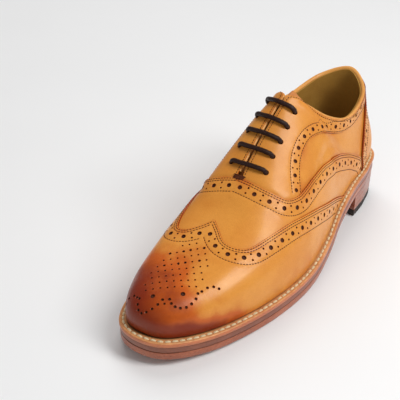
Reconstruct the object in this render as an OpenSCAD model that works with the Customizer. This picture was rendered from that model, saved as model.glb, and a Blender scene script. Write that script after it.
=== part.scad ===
// Full-brogue leather oxford shoe, left foot.
// Frame: +Z up, ground at z = 0, toe towards -Y, heel towards +Y, outer side of the foot +X.
// The upper follows one "last" surface. A place on it is [side, s, t]:
//   side  1 outer (lateral) side, -1 inner (medial) side
//   s     station round the shoe, 0 at the toe tip, 7 at the top of the lacing, 11 at the heel back
//   t     0 at the welt, 1 at the ridge (s up to 7) or at the topline (s over 7)
// Each leather piece is a shell at a set depth under that surface.

/* [Last] */
// Length of the sole from toe to heel
shoe_length = 306; // [285:1:320]
// Width of the sole across the ball of the foot
ball_width = 102; // [96:1:110]
// Height of the top of the lacing over the ground
lacing_height = 120.5; // [116:0.5:126]

/* [Sole] */
// Thickness of the leather outsole
outsole_t = 6; // [5:0.5:7]
// Thickness of the midsole
midsole_t = 4.7; // [4:0.1:5]
// Thickness of the welt
welt_t = 3.8; // [3.4:0.1:4.2]
// Width of the welt strip
welt_w = 13; // [12:0.5:13]
// Length of the heel block at the seat
heel_length = 64; // [58:1:70]
// Thickness of the rubber top piece under the heel
top_piece_t = 6; // [5:0.5:7]
// Thickness of one heel lift
lift_t = 5; // [4:0.5:5]
// Number of heel nails
nail_count = 9; // [5:2:11]

/* [Upper] */
// Thickness of the outer leather
leather_t = 1.0; // [0.9:0.1:1.1]
// Thickness of the lining leather
lining_t = 0.8; // [0.7:0.1:0.9]
// Thickness of the stiffeners and stays
stiffener_t = 0.8; // [0.7:0.1:0.9]

/* [Lacing] */
// Diameter of the round lace
lace_d = 3.6; // [3.4:0.1:3.8]
// Outside radius of one eyelet
eyelet_r = 3.2; // [3.1:0.1:3.4]
// Radius of the hole through an eyelet
eyelet_bore_r = 2.5; // [2.4:0.1:2.6]

/* [Hidden] */

// ---- The last, for a 306 x 102 mm sole, as [across, along from the heel, up] ----

// Edge of the sole at stations 0 to 11, outer side and inner side
EDGE_LAT = [[-7, 306], [14.5, 300], [32.5, 275], [46, 239], [54, 202], [56, 167],
            [51.5, 132], [44.5, 99], [40.5, 67], [38, 37], [29, 10], [1, 0]];
EDGE_MED = [[-7, 306], [-26, 298], [-38.5, 274], [-44, 243], [-45.5, 211], [-42, 178],
            [-34.5, 144], [-30.5, 108], [-33, 72], [-35.5, 40], [-27.5, 10.5], [1, 0]];
// Width of welt showing outside the upper
SHOW_LAT = [6.3, 6.3, 6, 5.7, 5.4, 5.1, 4.8, 4.5, 4, 4, 4.5, 5];
SHOW_MED = [6.3, 5.6, 5.4, 5.4, 5.2, 4.6, 3.5, 3, 3.5, 4, 4.5, 5];
// Ridge of the upper at stations 0 to 7
RIDGE = [[-7, 259, 47], [-7, 255, 47.7], [-6.5, 246, 49.6], [-6, 228, 54.8],
         [-6, 203, 64.6], [-6.5, 177, 79.8], [-7, 148, 99], [-5.5, 116, 120.5]];
// Topline at stations 7 to 11
TOP_LAT = [[-5.5, 116, 120.5], [20, 87, 98], [25.5, 56, 88.5], [20, 21, 96.5], [0, 7, 107]];
TOP_MED = [[-5.5, 116, 120.5], [-26.5, 87, 101], [-32, 56, 93.5], [-23, 21, 100.5], [0, 7, 107]];
// Extra height of the topline just behind the top of the lacing
corner_rise = 4.2;
// Shape of the section at each station: [bulge out over the welt, height of the bulge,
// reach of the shoulder, drop of the shoulder]
SECT_LAT = [[2.6, 0.85, 24, 0], [2.2, 0.85, 26, 0], [2.5, 0.85, 28, 0], [3, 0.85, 31, 0],
            [3, 0.8, 31, 0], [2.5, 0.72, 27, 0], [2, 0.62, 21, 0], [2, 0.55, 15, 3],
            [2.5, 0.45, 7, 22], [3, 0.42, 3, 22], [3.7, 0.42, 2, 26], [4.6, 0.42, 1, 28]];
SECT_MED = [[2.6, 0.85, 24, 0], [3.2, 0.85, 26, 0], [3.3, 0.85, 29, 0], [3, 0.85, 34, 0],
            [3, 0.8, 36, 0], [2, 0.74, 34, 0], [1, 0.66, 31, 0], [0, 0.6, 23, 3],
            [0, 0.5, 10, 22], [2, 0.42, 4, 22], [3.6, 0.42, 2, 26], [4.6, 0.42, 1, 28]];
// Height of the underside of the sole, every ninth of the length from the heel
SOLE_RISE = [23.6, 22.5, 19.2, 12.4, 5.2, 0.9, 0.1, 0.5, 2.2, 6.2];

// ---- Pattern lines of the upper, as [s, t] ----

// Rear edge of the wing cap, ridge to welt
WING_LAT = [[3.7, 1], [3.5, 0.92], [3.28, 0.82], [3.3, 0.7], [3.52, 0.585], [4.0, 0.515],
            [4.66, 0.425], [5.5, 0.295], [6.4, 0.16], [6.95, 0.085], [7.45, 0.01]];
WING_MED = [[3.7, 1], [3.46, 0.92], [3.34, 0.82], [3.44, 0.71], [3.85, 0.625], [4.3, 0.56],
            [4.9, 0.46], [5.6, 0.32], [6.4, 0.17], [6.95, 0.088], [7.45, 0.01]];
// Rear edge of the vamp, throat to the foot of the backstay
SWOOP = [[4.98, 1], [4.92, 0.87], [4.9, 0.72], [5.0, 0.56], [5.3, 0.475], [5.7, 0.432],
         [6.31, 0.391], [7.04, 0.328], [7.7, 0.378], [8.36, 0.345], [8.85, 0.01]];
// Lower edge of the quarter behind the vamp, and its upper edge, front to back
QUARTER_FOOT = [[8.75, 0.01], [9.5, 0.01], [10.3, 0.01], [10.97, 0.01]];
QUARTER_TOP = [[4.6, 0.975], [5.05, 0.975], [5.6, 0.975], [6.3, 0.97], [6.86, 0.962],
               [7.12, 0.985], [7.4, 0.992], [8.1, 0.996], [8.8, 0.996], [9.5, 0.996],
               [10.3, 0.996], [10.97, 0.996]];
// Lower and upper edges of the facing and its band along the topline
FACING_LOW = [[5.15, 0.54], [5.5, 0.472], [5.88, 0.54], [6.24, 0.567], [6.6, 0.56],
              [7.0, 0.518], [7.25, 0.548], [7.6, 0.63], [7.95, 0.705], [8.33, 0.773],
              [8.75, 0.815], [9.3, 0.856], [9.7, 0.868]];
FACING_TOP = [[5.12, 0.975], [5.4, 0.975], [5.8, 0.975], [6.2, 0.972], [6.6, 0.968],
              [6.86, 0.962], [7.0, 0.972], [7.12, 0.985], [7.4, 0.992], [8.05, 0.992],
              [8.75, 0.992], [9.3, 0.992], [10.0, 0.992]];
// Front edge of the backstay, topline to welt
BACKSTAY_EDGE = [[10.15, 0.995], [10.04, 0.89], [9.76, 0.79], [9.43, 0.63], [9.16, 0.49],
                 [9.02, 0.37], [8.97, 0.25], [8.96, 0.13], [8.96, 0.01]];
// Tongue: edge from root to the last station before its free end
TONGUE_EDGE = [[4.85, 0.66], [5.5, 0.64], [6.15, 0.6], [6.75, 0.56]];
// Eyelets from the throat up: [s, t] on each side
EYELETS_LAT = [[5.27, 0.795], [5.67, 0.797], [6.05, 0.787], [6.41, 0.79], [6.79, 0.792]];
EYELETS_MED = [[5.32, 0.86], [5.72, 0.842], [6.08, 0.825], [6.44, 0.8], [6.84, 0.77]];
// Lace tails under the facings, eyelet to aglet
TAIL_MED = [[5.46, 0.8], [5.58, 0.73], [5.75, 0.68], [5.95, 0.65], [6.15, 0.63],
            [6.35, 0.61], [6.55, 0.59], [6.72, 0.57], [6.86, 0.55]];
TAIL_LAT = [[6.68, 0.7], [6.52, 0.645], [6.3, 0.61], [6.08, 0.59], [5.86, 0.58],
            [5.64, 0.575], [5.42, 0.57], [5.2, 0.57], [5.0, 0.57]];

// ---- Derived sizes ----

// Scale of the last against the lists above: across, along and up
K = [ball_width / 102, shoe_length / 306, lacing_height / 120.5];
// Depths of the inner face of each layer under the surface of the upper
overlay_d = -0.6;
quarter_d = overlay_d - 0.5 - leather_t;
stiffener_d = quarter_d - 0.45 - stiffener_t;
lining_d = stiffener_d - 0.4 - lining_t;
hidden_lace_d = lining_d - 0.6 - lace_d / 2;
tongue_d = hidden_lace_d - lace_d / 2 - 0.4 - leather_t;
tongue_lining_d = tongue_d - 0.3 - lining_t;
bar_lift = overlay_d + leather_t + 0.55 + lace_d / 2;
welt_top = outsole_t + midsole_t + welt_t;
insole_t = 3;
sock_t = 0.8;
// Gap between loose layers of the sole
slack = 0.1;
ridge_end = 7;
heel_back = 11;
inner_edge = 13.6;
lace_sides = 8;

// ---- Curves ----

function unit(v) = v / norm(v);
function clip(x, low, high) = min(max(x, low), high);
function ease(x) = let (c = clip(x, 0, 1)) c * c * (3 - 2 * c);

// Smooth curve through the rows of p, at place u
function curve(p, u) =
    let (n = len(p), i = min(floor(max(u, 0)), n - 2), f = min(u, n - 1) - i,
         b = p[i], c = p[i + 1],
         a = i > 0 ? p[i - 1] : 2 * b - c,
         d = i < n - 2 ? p[i + 2] : 2 * c - b)
    0.5 * (2 * b + (c - a) * f + (2 * a - 5 * b + 4 * c - d) * f * f
           + (3 * b - 3 * c + d - a) * f * f * f);

// Lists carried on past the toe tip and the heel back, so that both sides meet smoothly
function both_ends(p, q) = concat([q[2], q[1]], p, [q[10], q[9]]);
function heel_end(p, q) = let (n = len(p)) concat(p, [q[n - 2], q[n - 3]]);
EDGE = [both_ends(EDGE_LAT, EDGE_MED), both_ends(EDGE_MED, EDGE_LAT)];
SHOW = [both_ends(SHOW_LAT, SHOW_MED), both_ends(SHOW_MED, SHOW_LAT)];
TOP = [heel_end(TOP_LAT, TOP_MED), heel_end(TOP_MED, TOP_LAT)];
SECT = [heel_end(SECT_LAT, SECT_MED), heel_end(SECT_MED, SECT_LAT)];
function pick(side) = side > 0 ? 0 : 1;

function edge(side, s) =
    let (p = curve(EDGE[pick(side)], s + 2)) [p[0] * K[0], p[1] * K[1]];
function edge_dir(side, s) = unit(edge(side, s + 0.01) - edge(side, s - 0.01));
function edge_out(side, s) = let (d = edge_dir(side, s)) [-side * d[1], side * d[0]];
function sole_rise(y) = max(0, curve(SOLE_RISE, clip(y / shoe_length, 0, 1) * 9) - 0.1);
function crest(side, s) =
    let (p = s <= ridge_end ? curve(RIDGE, s) : curve(TOP[pick(side)], s - ridge_end),
         u = clip(s - ridge_end, 0, 1),
         bump = u * pow(1 - u, 3) * 256 / 27)
    [p[0] * K[0], p[1] * K[1], (p[2] + corner_rise * bump) * K[2]];
function crest_slope(s) =
    let (c = min(s, ridge_end), a = crest(1, max(c - 0.01, 0)),
         b = crest(1, min(c + 0.01, ridge_end)))
    (b[2] - a[2]) / (b[1] - a[1]) * clip(7.5 - s, 0, 1);

// Centre of the sole in plan, so that the frame's origin is the middle of the box
PLAN = [for (side = [1, -1]) for (s = [0:0.2:11]) edge(side, s)];
x_mid = (min([for (p = PLAN) p[0]]) + max([for (p = PLAN) p[0]])) / 2;
y_mid = (min([for (p = PLAN) p[1]]) + max([for (p = PLAN) p[1]])) / 2;
function in_frame(p) = [p[0] - x_mid, y_mid - p[1], p[2]];

// Point of the last surface
function last_point(side, s, t) =
    let (e = edge(side, s), out = edge_out(side, s), h = curve(SECT[pick(side)], s),
         foot = e - out * curve(SHOW[pick(side)], s + 2),
         z = sole_rise(e[1]) + welt_top, top = crest(side, s), r = 1 - t,
         to = unit(foot - [top[0], top[1]]),
         p0 = [foot[0], foot[1], z],
         p1 = [foot[0] + out[0] * h[0], foot[1] + out[1] * h[0], z + h[1] * (top[2] - z)],
         p2 = top + [h[2] * to[0], h[2] * to[1], h[2] * to[1] * crest_slope(s) - h[3]])
    in_frame(r * r * r * p0 + 3 * r * r * t * p1 + 3 * r * t * t * p2 + t * t * t * top);

function last_normal(side, s, t) =
    let (e = 0.01, a = last_point(side, s + e, t) - last_point(side, max(s - e, 0), t),
         b = last_point(side, s, min(t + e, 1)) - last_point(side, s, max(t - e, 0)))
    unit(cross(a, b)) * side;
function on_last(side, s, t, d) = last_point(side, s, t) + d * last_normal(side, s, t);

// ---- Sheets: a grid of [side, s, t, depth], its points, and its normals ----

function rule(low, high, a, b) =
    let (p = curve(low, a * (len(low) - 1)), q = curve(high, a * (len(high) - 1)))
    p + (q - p) * b;
// Sheet right across the shoe, from front lines to rear lines that both run ridge to welt
function across(front, rear, rows, half, depths) =
    [for (i = [0:rows]) [for (j = [0:2 * half])
        let (side = j <= half ? 1 : -1, k = pick(side), b = abs(j - half) / half,
             p = rule(front[k], rear[k], b, i / rows))
        [side, p[0], p[1], depths[i]]]];
// Sheet on one side, from a lower line to an upper line that both run front to back
function on_side(side, low, high, rows, cols, depth) =
    [for (i = [0:rows]) [for (j = [0:cols])
        let (b = side > 0 ? j / cols : 1 - j / cols, p = rule(low, high, i / rows, b))
        [side, p[0], p[1], depth]]];
// Sheet round the heel, between lines that run from the front edge to the heel centre
function round_heel(low, high, half, cols, depth) =
    [for (i = [0:2 * half]) [for (j = [0:cols])
        let (side = i <= half ? 1 : -1, a = (i <= half ? i : 2 * half - i) / half,
             p = rule(low, high, a, j / cols))
        [side, p[0], p[1], depth]]];
// Sheet round the heel, from a front edge that runs topline to welt
function behind_edge(front, half, cols, depth) =
    let (centre = [[heel_back, front[0][1]], [heel_back, front[len(front) - 1][1]]])
    [for (i = [0:2 * half]) [for (j = [0:cols])
        let (side = i <= half ? 1 : -1, a = (i <= half ? i : 2 * half - i) / half,
             p = rule(front, centre, 1 - j / cols, a))
        [side, p[0], p[1], depth]]];

function grid_normal(g, i, j, zip) =
    let (n = len(g) - 1, m = len(g[0]) - 1,
         a = zip && i == 0 ? g[1][j] - g[1][m - j] : g[min(i + 1, n)][j] - g[max(i - 1, 0)][j],
         b = g[i][min(j + 1, m)] - g[i][max(j - 1, 0)])
    zip && i == 0 && j == m / 2 ? grid_normal(g, 1, j, zip) : unit(cross(a, b));

function sheet_points(p, zip, thick) =
    let (g = [for (r = p) [for (q = r) last_point(q[0], q[1], q[2])]])
    [for (i = [0:len(p) - 1]) [for (j = [0:len(p[0]) - 1])
        g[i][j] + (p[i][j][3] + thick) * grid_normal(g, i, j, zip)]];

// Solid between an outer grid and an inner grid. A zipped solid folds its first row in half.
module solid_sheet(outer, inner, zip = false) {
    n = len(outer) - 1;
    m = len(outer[0]) - 1;
    count = (n + 1) * (m + 1);
    function at(i, j) = i * (m + 1) + (zip && i == 0 && j > m / 2 ? m - j : j);
    function into(i, j) = count + at(i, j);
    function quad(a, b, c, d) = [[a, b, c], [a, c, d]];
    function strip(p, q) = quad(at(p[0], p[1]), at(q[0], q[1]), into(q[0], q[1]), into(p[0], p[1]));
    skins = [for (i = [0:n - 1]) for (j = [0:m - 1]) each concat(
        quad(at(i, j), at(i, j + 1), at(i + 1, j + 1), at(i + 1, j)),
        quad(into(i, j), into(i + 1, j), into(i + 1, j + 1), into(i, j + 1)))];
    sides = [for (i = [0:n - 1]) each concat(
        strip([i, 0], [i + 1, 0]), strip([i + 1, m], [i, m]))];
    front = zip ? [] : [for (j = [0:m - 1]) each strip([0, j + 1], [0, j])];
    back = [for (j = [0:m - 1]) each strip([n, j], [n, j + 1])];
    polyhedron(points = concat([for (r = outer) each r], [for (r = inner) each r]),
               faces = concat(skins, sides, front, back), convexity = 8);
}

module sheet(p, thick, zip = false) {
    solid_sheet(sheet_points(p, zip, thick), sheet_points(p, zip, 0), zip);
}

// Round cord along a list of points
module cord(path, r) {
    n = len(path);
    dirs = [for (i = [0:n - 1]) unit(path[min(i + 1, n - 1)] - path[max(i - 1, 0)])];
    start = unit(cross(dirs[0], [0.3, 0.5, 0.8]));
    ups = [for (i = 0, u = start; i < n;
                i = i + 1, u = unit(u - (u * dirs[min(i, n - 1)]) * dirs[min(i, n - 1)])) u];
    rings = [for (i = [0:n - 1]) for (k = [0:lace_sides - 1])
        let (a = 360 * k / lace_sides)
        path[i] + r * (cos(a) * ups[i] + sin(a) * cross(dirs[i], ups[i]))];
    function at(i, k) = i * lace_sides + k % lace_sides;
    walls = [for (i = [0:n - 2]) for (k = [0:lace_sides - 1]) each [
        [at(i, k), at(i + 1, k + 1), at(i, k + 1)], [at(i, k), at(i + 1, k), at(i + 1, k + 1)]]];
    ends = [[for (k = [0:lace_sides - 1]) at(0, k)],
            [for (k = [lace_sides - 1:-1:0]) at(n - 1, k)]];
    polyhedron(points = rings, faces = concat(walls, ends), convexity = 10);
}

// Stand a shape's +Z axis along the outward direction of the surface at a place
module stand_on_last(side, place) {
    d = last_normal(side, place[0], place[1]);
    translate(last_point(side, place[0], place[1]))
        rotate([0, acos(d[2]), atan2(d[1], d[0])])
            children();
}

// Wells through the upper for the eyelets of one side
module eyelet_wells(side, places, r = eyelet_r + 0.15) {
    for (p = places)
        stand_on_last(side, p)
            translate([0, 0, lining_d - 2])
                cylinder(r = r, h = 8 - lining_d, $fn = 16);
}

// ---- Flat layers of the sole ----

// Outline of the sole, drawn in by a margin
module outline(margin) {
    polygon([for (side = [1, -1]) for (k = [0:54])
        let (s = side > 0 ? k * 0.2 : 11 - k * 0.2, p = edge(side, s) - margin * edge_out(side, s))
        [p[0] - x_mid, y_mid - p[1]]]);
}

// Band between two heights over the underside of the sole, right across
module band(low, high) {
    ys = [for (k = [0:32]) shoe_length * (k * 1.02 / 32 - 0.01)];
    rotate([90, 0, 90])
        translate([0, 0, -90])
            linear_extrude(180)
                polygon(concat(
                    [for (y = ys) [y_mid - y, sole_rise(y) + low]],
                    [for (k = [32:-1:0]) [y_mid - ys[k], sole_rise(ys[k]) + high]]));
}

module layer(low, high, margin) {
    intersection() {
        band(low, high);
        translate([0, 0, -10])
            linear_extrude(90)
                outline(margin);
    }
}

module ring(low, high, margin, width) {
    difference() {
        layer(low, high, margin);
        translate([0, 0, -20])
            linear_extrude(110)
                outline(margin + width);
    }
}

// Heel block between two heights, with a breast that curves in
module heel_block(low, high, margin) {
    breast_r = 130;
    intersection() {
        translate([0, 0, low])
            linear_extrude(high - low)
                outline(margin);
        difference() {
            translate([-60, y_mid - heel_length, low - 1])
                cube([120, heel_length + 10, high - low + 2]);
            translate([0, y_mid - heel_length - breast_r + 4, low - 2])
                cylinder(r = breast_r, h = high - low + 4, $fn = 180);
        }
    }
}

nail_len = 9;
module at_nails() {
    for (k = [0:nail_count - 1]) {
        u = (2 * k / (nail_count - 1) - 1);
        side = u < 0 ? -1 : 1;
        s = 11 - 2.5 * abs(u);
        p = edge(side, s) - 9 * edge_out(side, s);
        translate([p[0] - x_mid, y_mid - p[1], 0])
            children();
    }
}

module outsole() {
    color("saddlebrown") layer(0, outsole_t, 0.6);
}

module midsole() {
    color("sienna") layer(outsole_t, outsole_t + midsole_t, 0.9);
}

module welt() {
    color("peru") ring(welt_top - welt_t, welt_top, 0, welt_w);
}

module welt_stitching() {
    stitch = [3.2, 0.9, 0.6];
    pitch = 5;
    color("cornsilk")
        for (side = [1, -1]) for (i = [0:heel_back - 1]) {
            n = round(norm(edge(side, i + 1) - edge(side, i)) / pitch);
            for (k = [0:n - 1]) {
                s = i + (k + 0.5) / n;
                p = edge(side, s) - 3 * edge_out(side, s);
                d = edge_dir(side, s);
                rise = sole_rise(p[1] + d[1]) - sole_rise(p[1] - d[1]);
                translate([p[0] - x_mid, y_mid - p[1], sole_rise(p[1]) + welt_top + 0.45])
                    rotate([0, -atan(rise / 2), atan2(-d[1], d[0])])
                        cube(stitch, center = true);
            }
        }
}

module shank_bar(grow) {
    shank_w = 13;
    intersection() {
        band(welt_top - welt_t + 0.6 - grow, welt_top - welt_t + 1.6 + grow);
        translate([1 - x_mid - shank_w / 2 - grow, y_mid - 165 - grow, 0])
            cube([shank_w + 2 * grow, 105 + 2 * grow, 60]);
    }
}

module cork_filler() {
    color("burlywood")
        difference() {
            layer(welt_top - welt_t + slack, welt_top - slack - 1, inner_edge + 3);
            shank_bar(0.2);
        }
}

module shank() {
    color("slategray") shank_bar(0);
}

module insole_rib() {
    color("wheat") ring(welt_top - welt_t + slack, welt_top - slack - 1, inner_edge, 2.6);
}

module insole() {
    color("tan") layer(welt_top - 1, welt_top - 1 + insole_t, inner_edge);
}

module sock_liner() {
    color("darkkhaki")
        layer(welt_top + insole_t - 1, welt_top + insole_t - 1 + sock_t, inner_edge + 0.5);
}

module heel_top_piece() {
    color("dimgray")
        difference() {
            heel_block(0, top_piece_t, 1.4);
            at_nails() translate([0, 0, -1]) cylinder(r = 1.1, h = top_piece_t + 2, $fn = 24);
        }
}

module heel_lift_1() {
    color("saddlebrown")
        difference() {
            heel_block(top_piece_t, top_piece_t + lift_t, 1.2);
            at_nails() translate([0, 0, top_piece_t - 1]) cylinder(r = 1.1, h = 4.6, $fn = 24);
        }
}

module heel_lift_2() {
    color("sienna") heel_block(top_piece_t + lift_t, top_piece_t + 2 * lift_t, 1);
}

module heel_lift_3() {
    color("saddlebrown")
        intersection() {
            heel_block(top_piece_t + 2 * lift_t, 40, 0.8);
            band(-20, 0);
        }
}

module heel_nails() {
    color("gold")
        at_nails() translate([0, 0, 0.3]) cylinder(r = 1, h = nail_len, $fn = 24);
}

// ---- Outer leather ----

// Overlap of the toe cap over the vamp, in stations, and the vamp's share over the quarters
cap_lap = 0.3;
quarter_lap = 0.45;
function shifted(p, ds) = [for (q = p) [max(q[0] - ds, 0), q[1]]];
function tip_line(p) = [for (q = p) [0, q[1]]];
function quarter_low(side) =
    let (wing = shifted(side > 0 ? WING_LAT : WING_MED, cap_lap), first = 0.4, steps = 6)
    concat([for (k = [0:steps])
                rule(wing, SWOOP, first + (1 - first) * k / steps, 1 - quarter_lap)],
           QUARTER_FOOT);

module toe_cap() {
    rows = 14;
    depths = [for (i = [0:rows])
        quarter_d + (overlay_d - quarter_d) * ease((i / rows - 0.6) / 0.25)];
    color("chocolate")
        sheet(across([tip_line(WING_LAT), tip_line(WING_MED)], [WING_LAT, WING_MED],
                     rows, 22, depths), leather_t, true);
}

module vamp() {
    rows = 12;
    depths = [for (i = [0:rows])
        quarter_d + (overlay_d - quarter_d) * ease((i / rows - 0.25) / 0.17)];
    color("peru")
        sheet(across([shifted(WING_LAT, cap_lap), shifted(WING_MED, cap_lap)], [SWOOP, SWOOP],
                     rows, 20, depths), leather_t);
}

module quarter(side, places) {
    color("peru")
        difference() {
            sheet(on_side(side, quarter_low(side), QUARTER_TOP, 30, 9, quarter_d), leather_t);
            eyelet_wells(side, places);
        }
}

module quarter_lateral() {
    quarter(1, EYELETS_LAT);
}

module quarter_medial() {
    quarter(-1, EYELETS_MED);
}

module facing(side, places) {
    color("goldenrod")
        difference() {
            sheet(on_side(side, FACING_LOW, FACING_TOP, 24, 6, overlay_d), leather_t);
            eyelet_wells(side, places, eyelet_bore_r + 0.3);
        }
}

module facing_lateral() {
    facing(1, EYELETS_LAT);
}

module facing_medial() {
    facing(-1, EYELETS_MED);
}

module backstay() {
    color("peru")
        sheet(behind_edge(BACKSTAY_EDGE, 9, 12, overlay_d), leather_t);
}

module topline_binding() {
    half = 30;
    first = 7.6;
    over_edge = 2.2;
    path = [for (i = [0:2 * half])
        let (side = i <= half ? 1 : -1, a = (i <= half ? i : 2 * half - i) / half,
             s = first + (heel_back - first) * a)
        on_last(side, s, 1, quarter_d) + [0, 0, over_edge]];
    color("saddlebrown") cord(path, 1);
}

module throat_bar_tack() {
    p = on_last(1, 4.9, 1, overlay_d + leather_t + 0.65);
    color("maroon")
        translate(p)
            rotate([atan(-crest_slope(4.9)), 0, 0])
                cube([9, 2.4, 0.7], center = true);
}

// ---- Linings and stiffeners ----

function line(s, low, high, n) = [for (k = [0:n]) [s, high + (low - high) * k / n]];

module vamp_lining() {
    tip = line(0, 0.03, 1, 5);
    rear = line(5.05, 0.03, 1, 5);
    rows = 14;
    color("darkkhaki")
        sheet(across([tip, tip], [rear, rear], rows, 14, [for (i = [0:rows]) lining_d]),
              lining_t, true);
}

module quarter_lining(side, places) {
    low = [[5.12, 0.03], [6, 0.03], [7, 0.03], [8, 0.03], [9, 0.03]];
    high = [[5.12, 0.975], [6, 0.975], [6.9, 0.965], [8, 0.99], [9, 0.99]];
    color("darkkhaki")
        difference() {
            sheet(on_side(side, low, high, 16, 10, lining_d), lining_t);
            eyelet_wells(side, places);
        }
}

module quarter_lining_lateral() {
    quarter_lining(1, EYELETS_LAT);
}

module quarter_lining_medial() {
    quarter_lining(-1, EYELETS_MED);
}

module heel_lining() {
    low = [[9.05, 0.03], [10, 0.03], [11, 0.03]];
    high = [[9.05, 0.99], [10, 0.99], [11, 0.99]];
    color("darkkhaki") sheet(round_heel(low, high, 8, 9, lining_d), lining_t);
}

module toe_puff() {
    tip = line(0, 0.05, 1, 5);
    rear = line(2.9, 0.05, 1, 5);
    rows = 8;
    color("gray")
        sheet(across([tip, tip], [rear, rear], rows, 12, [for (i = [0:rows]) stiffener_d]),
              stiffener_t, true);
}

module heel_counter() {
    low = [[8.8, 0.04], [9.6, 0.04], [10.4, 0.04], [11, 0.04]];
    high = [[9.1, 0.5], [9.7, 0.66], [10.4, 0.74], [11, 0.76]];
    color("gray") sheet(round_heel(low, high, 9, 7, stiffener_d), stiffener_t);
}

module eyelet_stay(side, places) {
    low = [[5.16, 0.68], [5.7, 0.67], [6.3, 0.64], [6.92, 0.6]];
    high = [[5.16, 0.965], [5.7, 0.965], [6.3, 0.96], [6.88, 0.955]];
    color("ivory")
        difference() {
            sheet(on_side(side, low, high, 12, 4, stiffener_d), stiffener_t);
            eyelet_wells(side, places);
        }
}

module eyelet_stay_lateral() {
    eyelet_stay(1, EYELETS_LAT);
}

module eyelet_stay_medial() {
    eyelet_stay(-1, EYELETS_MED);
}

// ---- Lacing ----

eyelet_low = lining_d - 0.2;
eyelet_high = overlay_d - 0.6;
module eyelet_row(side, places) {
    for (p = places)
        stand_on_last(side, p)
            translate([0, 0, eyelet_low])
                difference() {
                    cylinder(r = eyelet_r, h = eyelet_high - eyelet_low, $fn = 32);
                    translate([0, 0, -1])
                        cylinder(r = eyelet_bore_r, h = eyelet_high - eyelet_low + 2, $fn = 32);
                }
}

module eyelets() {
    color("saddlebrown") {
        eyelet_row(1, EYELETS_LAT);
        eyelet_row(-1, EYELETS_MED);
    }
}

// Way of the lace through one eyelet, from the bar on top to the run below.
// along is 1 when the run below leaves towards the topline, -1 towards the throat.
function through(side, place, along) =
    let (o = last_point(side, place[0], place[1]), n = last_normal(side, place[0], place[1]),
         up = unit(last_point(side, place[0], place[1] + 0.02) - o),
         w = along * unit(last_point(side, place[0] + 0.02, place[1]) - o),
         top = bar_lift, bottom = hidden_lace_d)
    [o + 3.4 * up + (top + 0.1) * n, o + 1.7 * up + (top - 0.35) * n,
     o + 0.5 * up + (top - 1.6) * n, o - 0.6 * n, o - 2 * n, o - 3.4 * n,
     o + 0.2 * w + (bottom + 1.5) * n, o + 1.7 * w + (bottom + 0.4) * n,
     o + 3.7 * w + bottom * n];
function backwards(p) = [for (i = [len(p) - 1:-1:0]) p[i]];
// Bar over the tongue between the eyelets of one row, inner side to outer side
function bar(k) =
    let (a = EYELETS_MED[k], b = EYELETS_LAT[k])
    [for (v = [-0.5, 0, 0.5])
        let (side = v < 0 ? -1 : 1, e = v < 0 ? a : b, m = (a[0] + b[0]) / 2, c = abs(v))
        on_last(side, m + (e[0] - m) * c, 1 - (1 - e[1]) * c, bar_lift + 0.35)];
// One row: [from, bar, to], run from the inner side when the row number is even
function row(k) =
    let (med = through(-1, EYELETS_MED[k], k % 2 == 0 ? (k == 0 ? 1 : -1) : 1),
         lat = through(1, EYELETS_LAT[k], k % 2 == 0 ? (k == 4 ? -1 : 1) : -1))
    k % 2 == 0 ? concat(backwards(med), bar(k), lat)
               : concat(backwards(lat), backwards(bar(k)), med);
function tail(side, places) =
    [for (p = places) on_last(side, p[0], p[1], hidden_lace_d)];
LACE = concat(backwards(tail(-1, TAIL_MED)), row(0), row(1), row(2), row(3), row(4),
              tail(1, TAIL_LAT));

module lace() {
    color("#2a1a12") cord(LACE, lace_d / 2);
}

module aglet(from, to) {
    aglet_len = 14;
    d = unit(to - from);
    color("black")
        translate(to)
            rotate([0, acos(d[2]), atan2(d[1], d[0])])
                cylinder(r = 0.45 * lace_d, h = aglet_len, $fn = 24);
}

module aglets() {
    n = len(LACE);
    aglet(LACE[1], LACE[0]);
    aglet(LACE[n - 2], LACE[n - 1]);
}

// ---- Tongue ----

// Tongue layer: sheet under the facings, then a free end that runs on past the topline
module tongue_layer(depth, thick) {
    rows = 11;
    half = 8;
    free_rows = 4;
    free_length = 20.5;
    free_droop = 1.6;
    ridge_line = [for (q = TONGUE_EDGE) [q[0], 1]];
    p = [for (i = [0:rows]) [for (j = [0:2 * half])
        let (side = j <= half ? 1 : -1, b = abs(j - half) / half,
             q = rule(ridge_line, TONGUE_EDGE, i / rows, b))
        [side, q[0], q[1], depth]]];
    function carried(g) =
        let (tip = g[rows][half] - g[rows - 1][half])
        concat(g, [for (k = [1:free_rows]) [for (j = [0:2 * half])
            let (u = abs(j - half) / half, f = k / free_rows,
                 way = unit(0.35 * (g[rows][j] - g[rows - 1][j]) + 0.65 * tip))
            g[rows][j] + free_length * f * (1 - 0.5 * pow(u, 4)) * way
                + free_droop * f * f * [0, 0.5, -1]]]);
    solid_sheet(carried(sheet_points(p, false, thick)), carried(sheet_points(p, false, 0)));
}

module tongue() {
    color("peru") tongue_layer(tongue_d, leather_t);
}

module tongue_lining() {
    color("darkkhaki") tongue_layer(tongue_lining_d, lining_t);
}

outsole();
midsole();
welt();
welt_stitching();
cork_filler();
shank();
insole_rib();
insole();
sock_liner();
heel_lift_1();
heel_lift_2();
heel_lift_3();
heel_top_piece();
heel_nails();
toe_cap();
vamp();
quarter_lateral();
quarter_medial();
facing_lateral();
facing_medial();
backstay();
topline_binding();
throat_bar_tack();
vamp_lining();
quarter_lining_lateral();
quarter_lining_medial();
heel_lining();
toe_puff();
heel_counter();
eyelet_stay_lateral();
eyelet_stay_medial();
eyelets();
lace();
aglets();
tongue();
tongue_lining();
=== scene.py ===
import math

import bpy
import numpy as np
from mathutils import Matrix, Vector, kdtree
from mathutils.geometry import delaunay_2d_cdt


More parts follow.
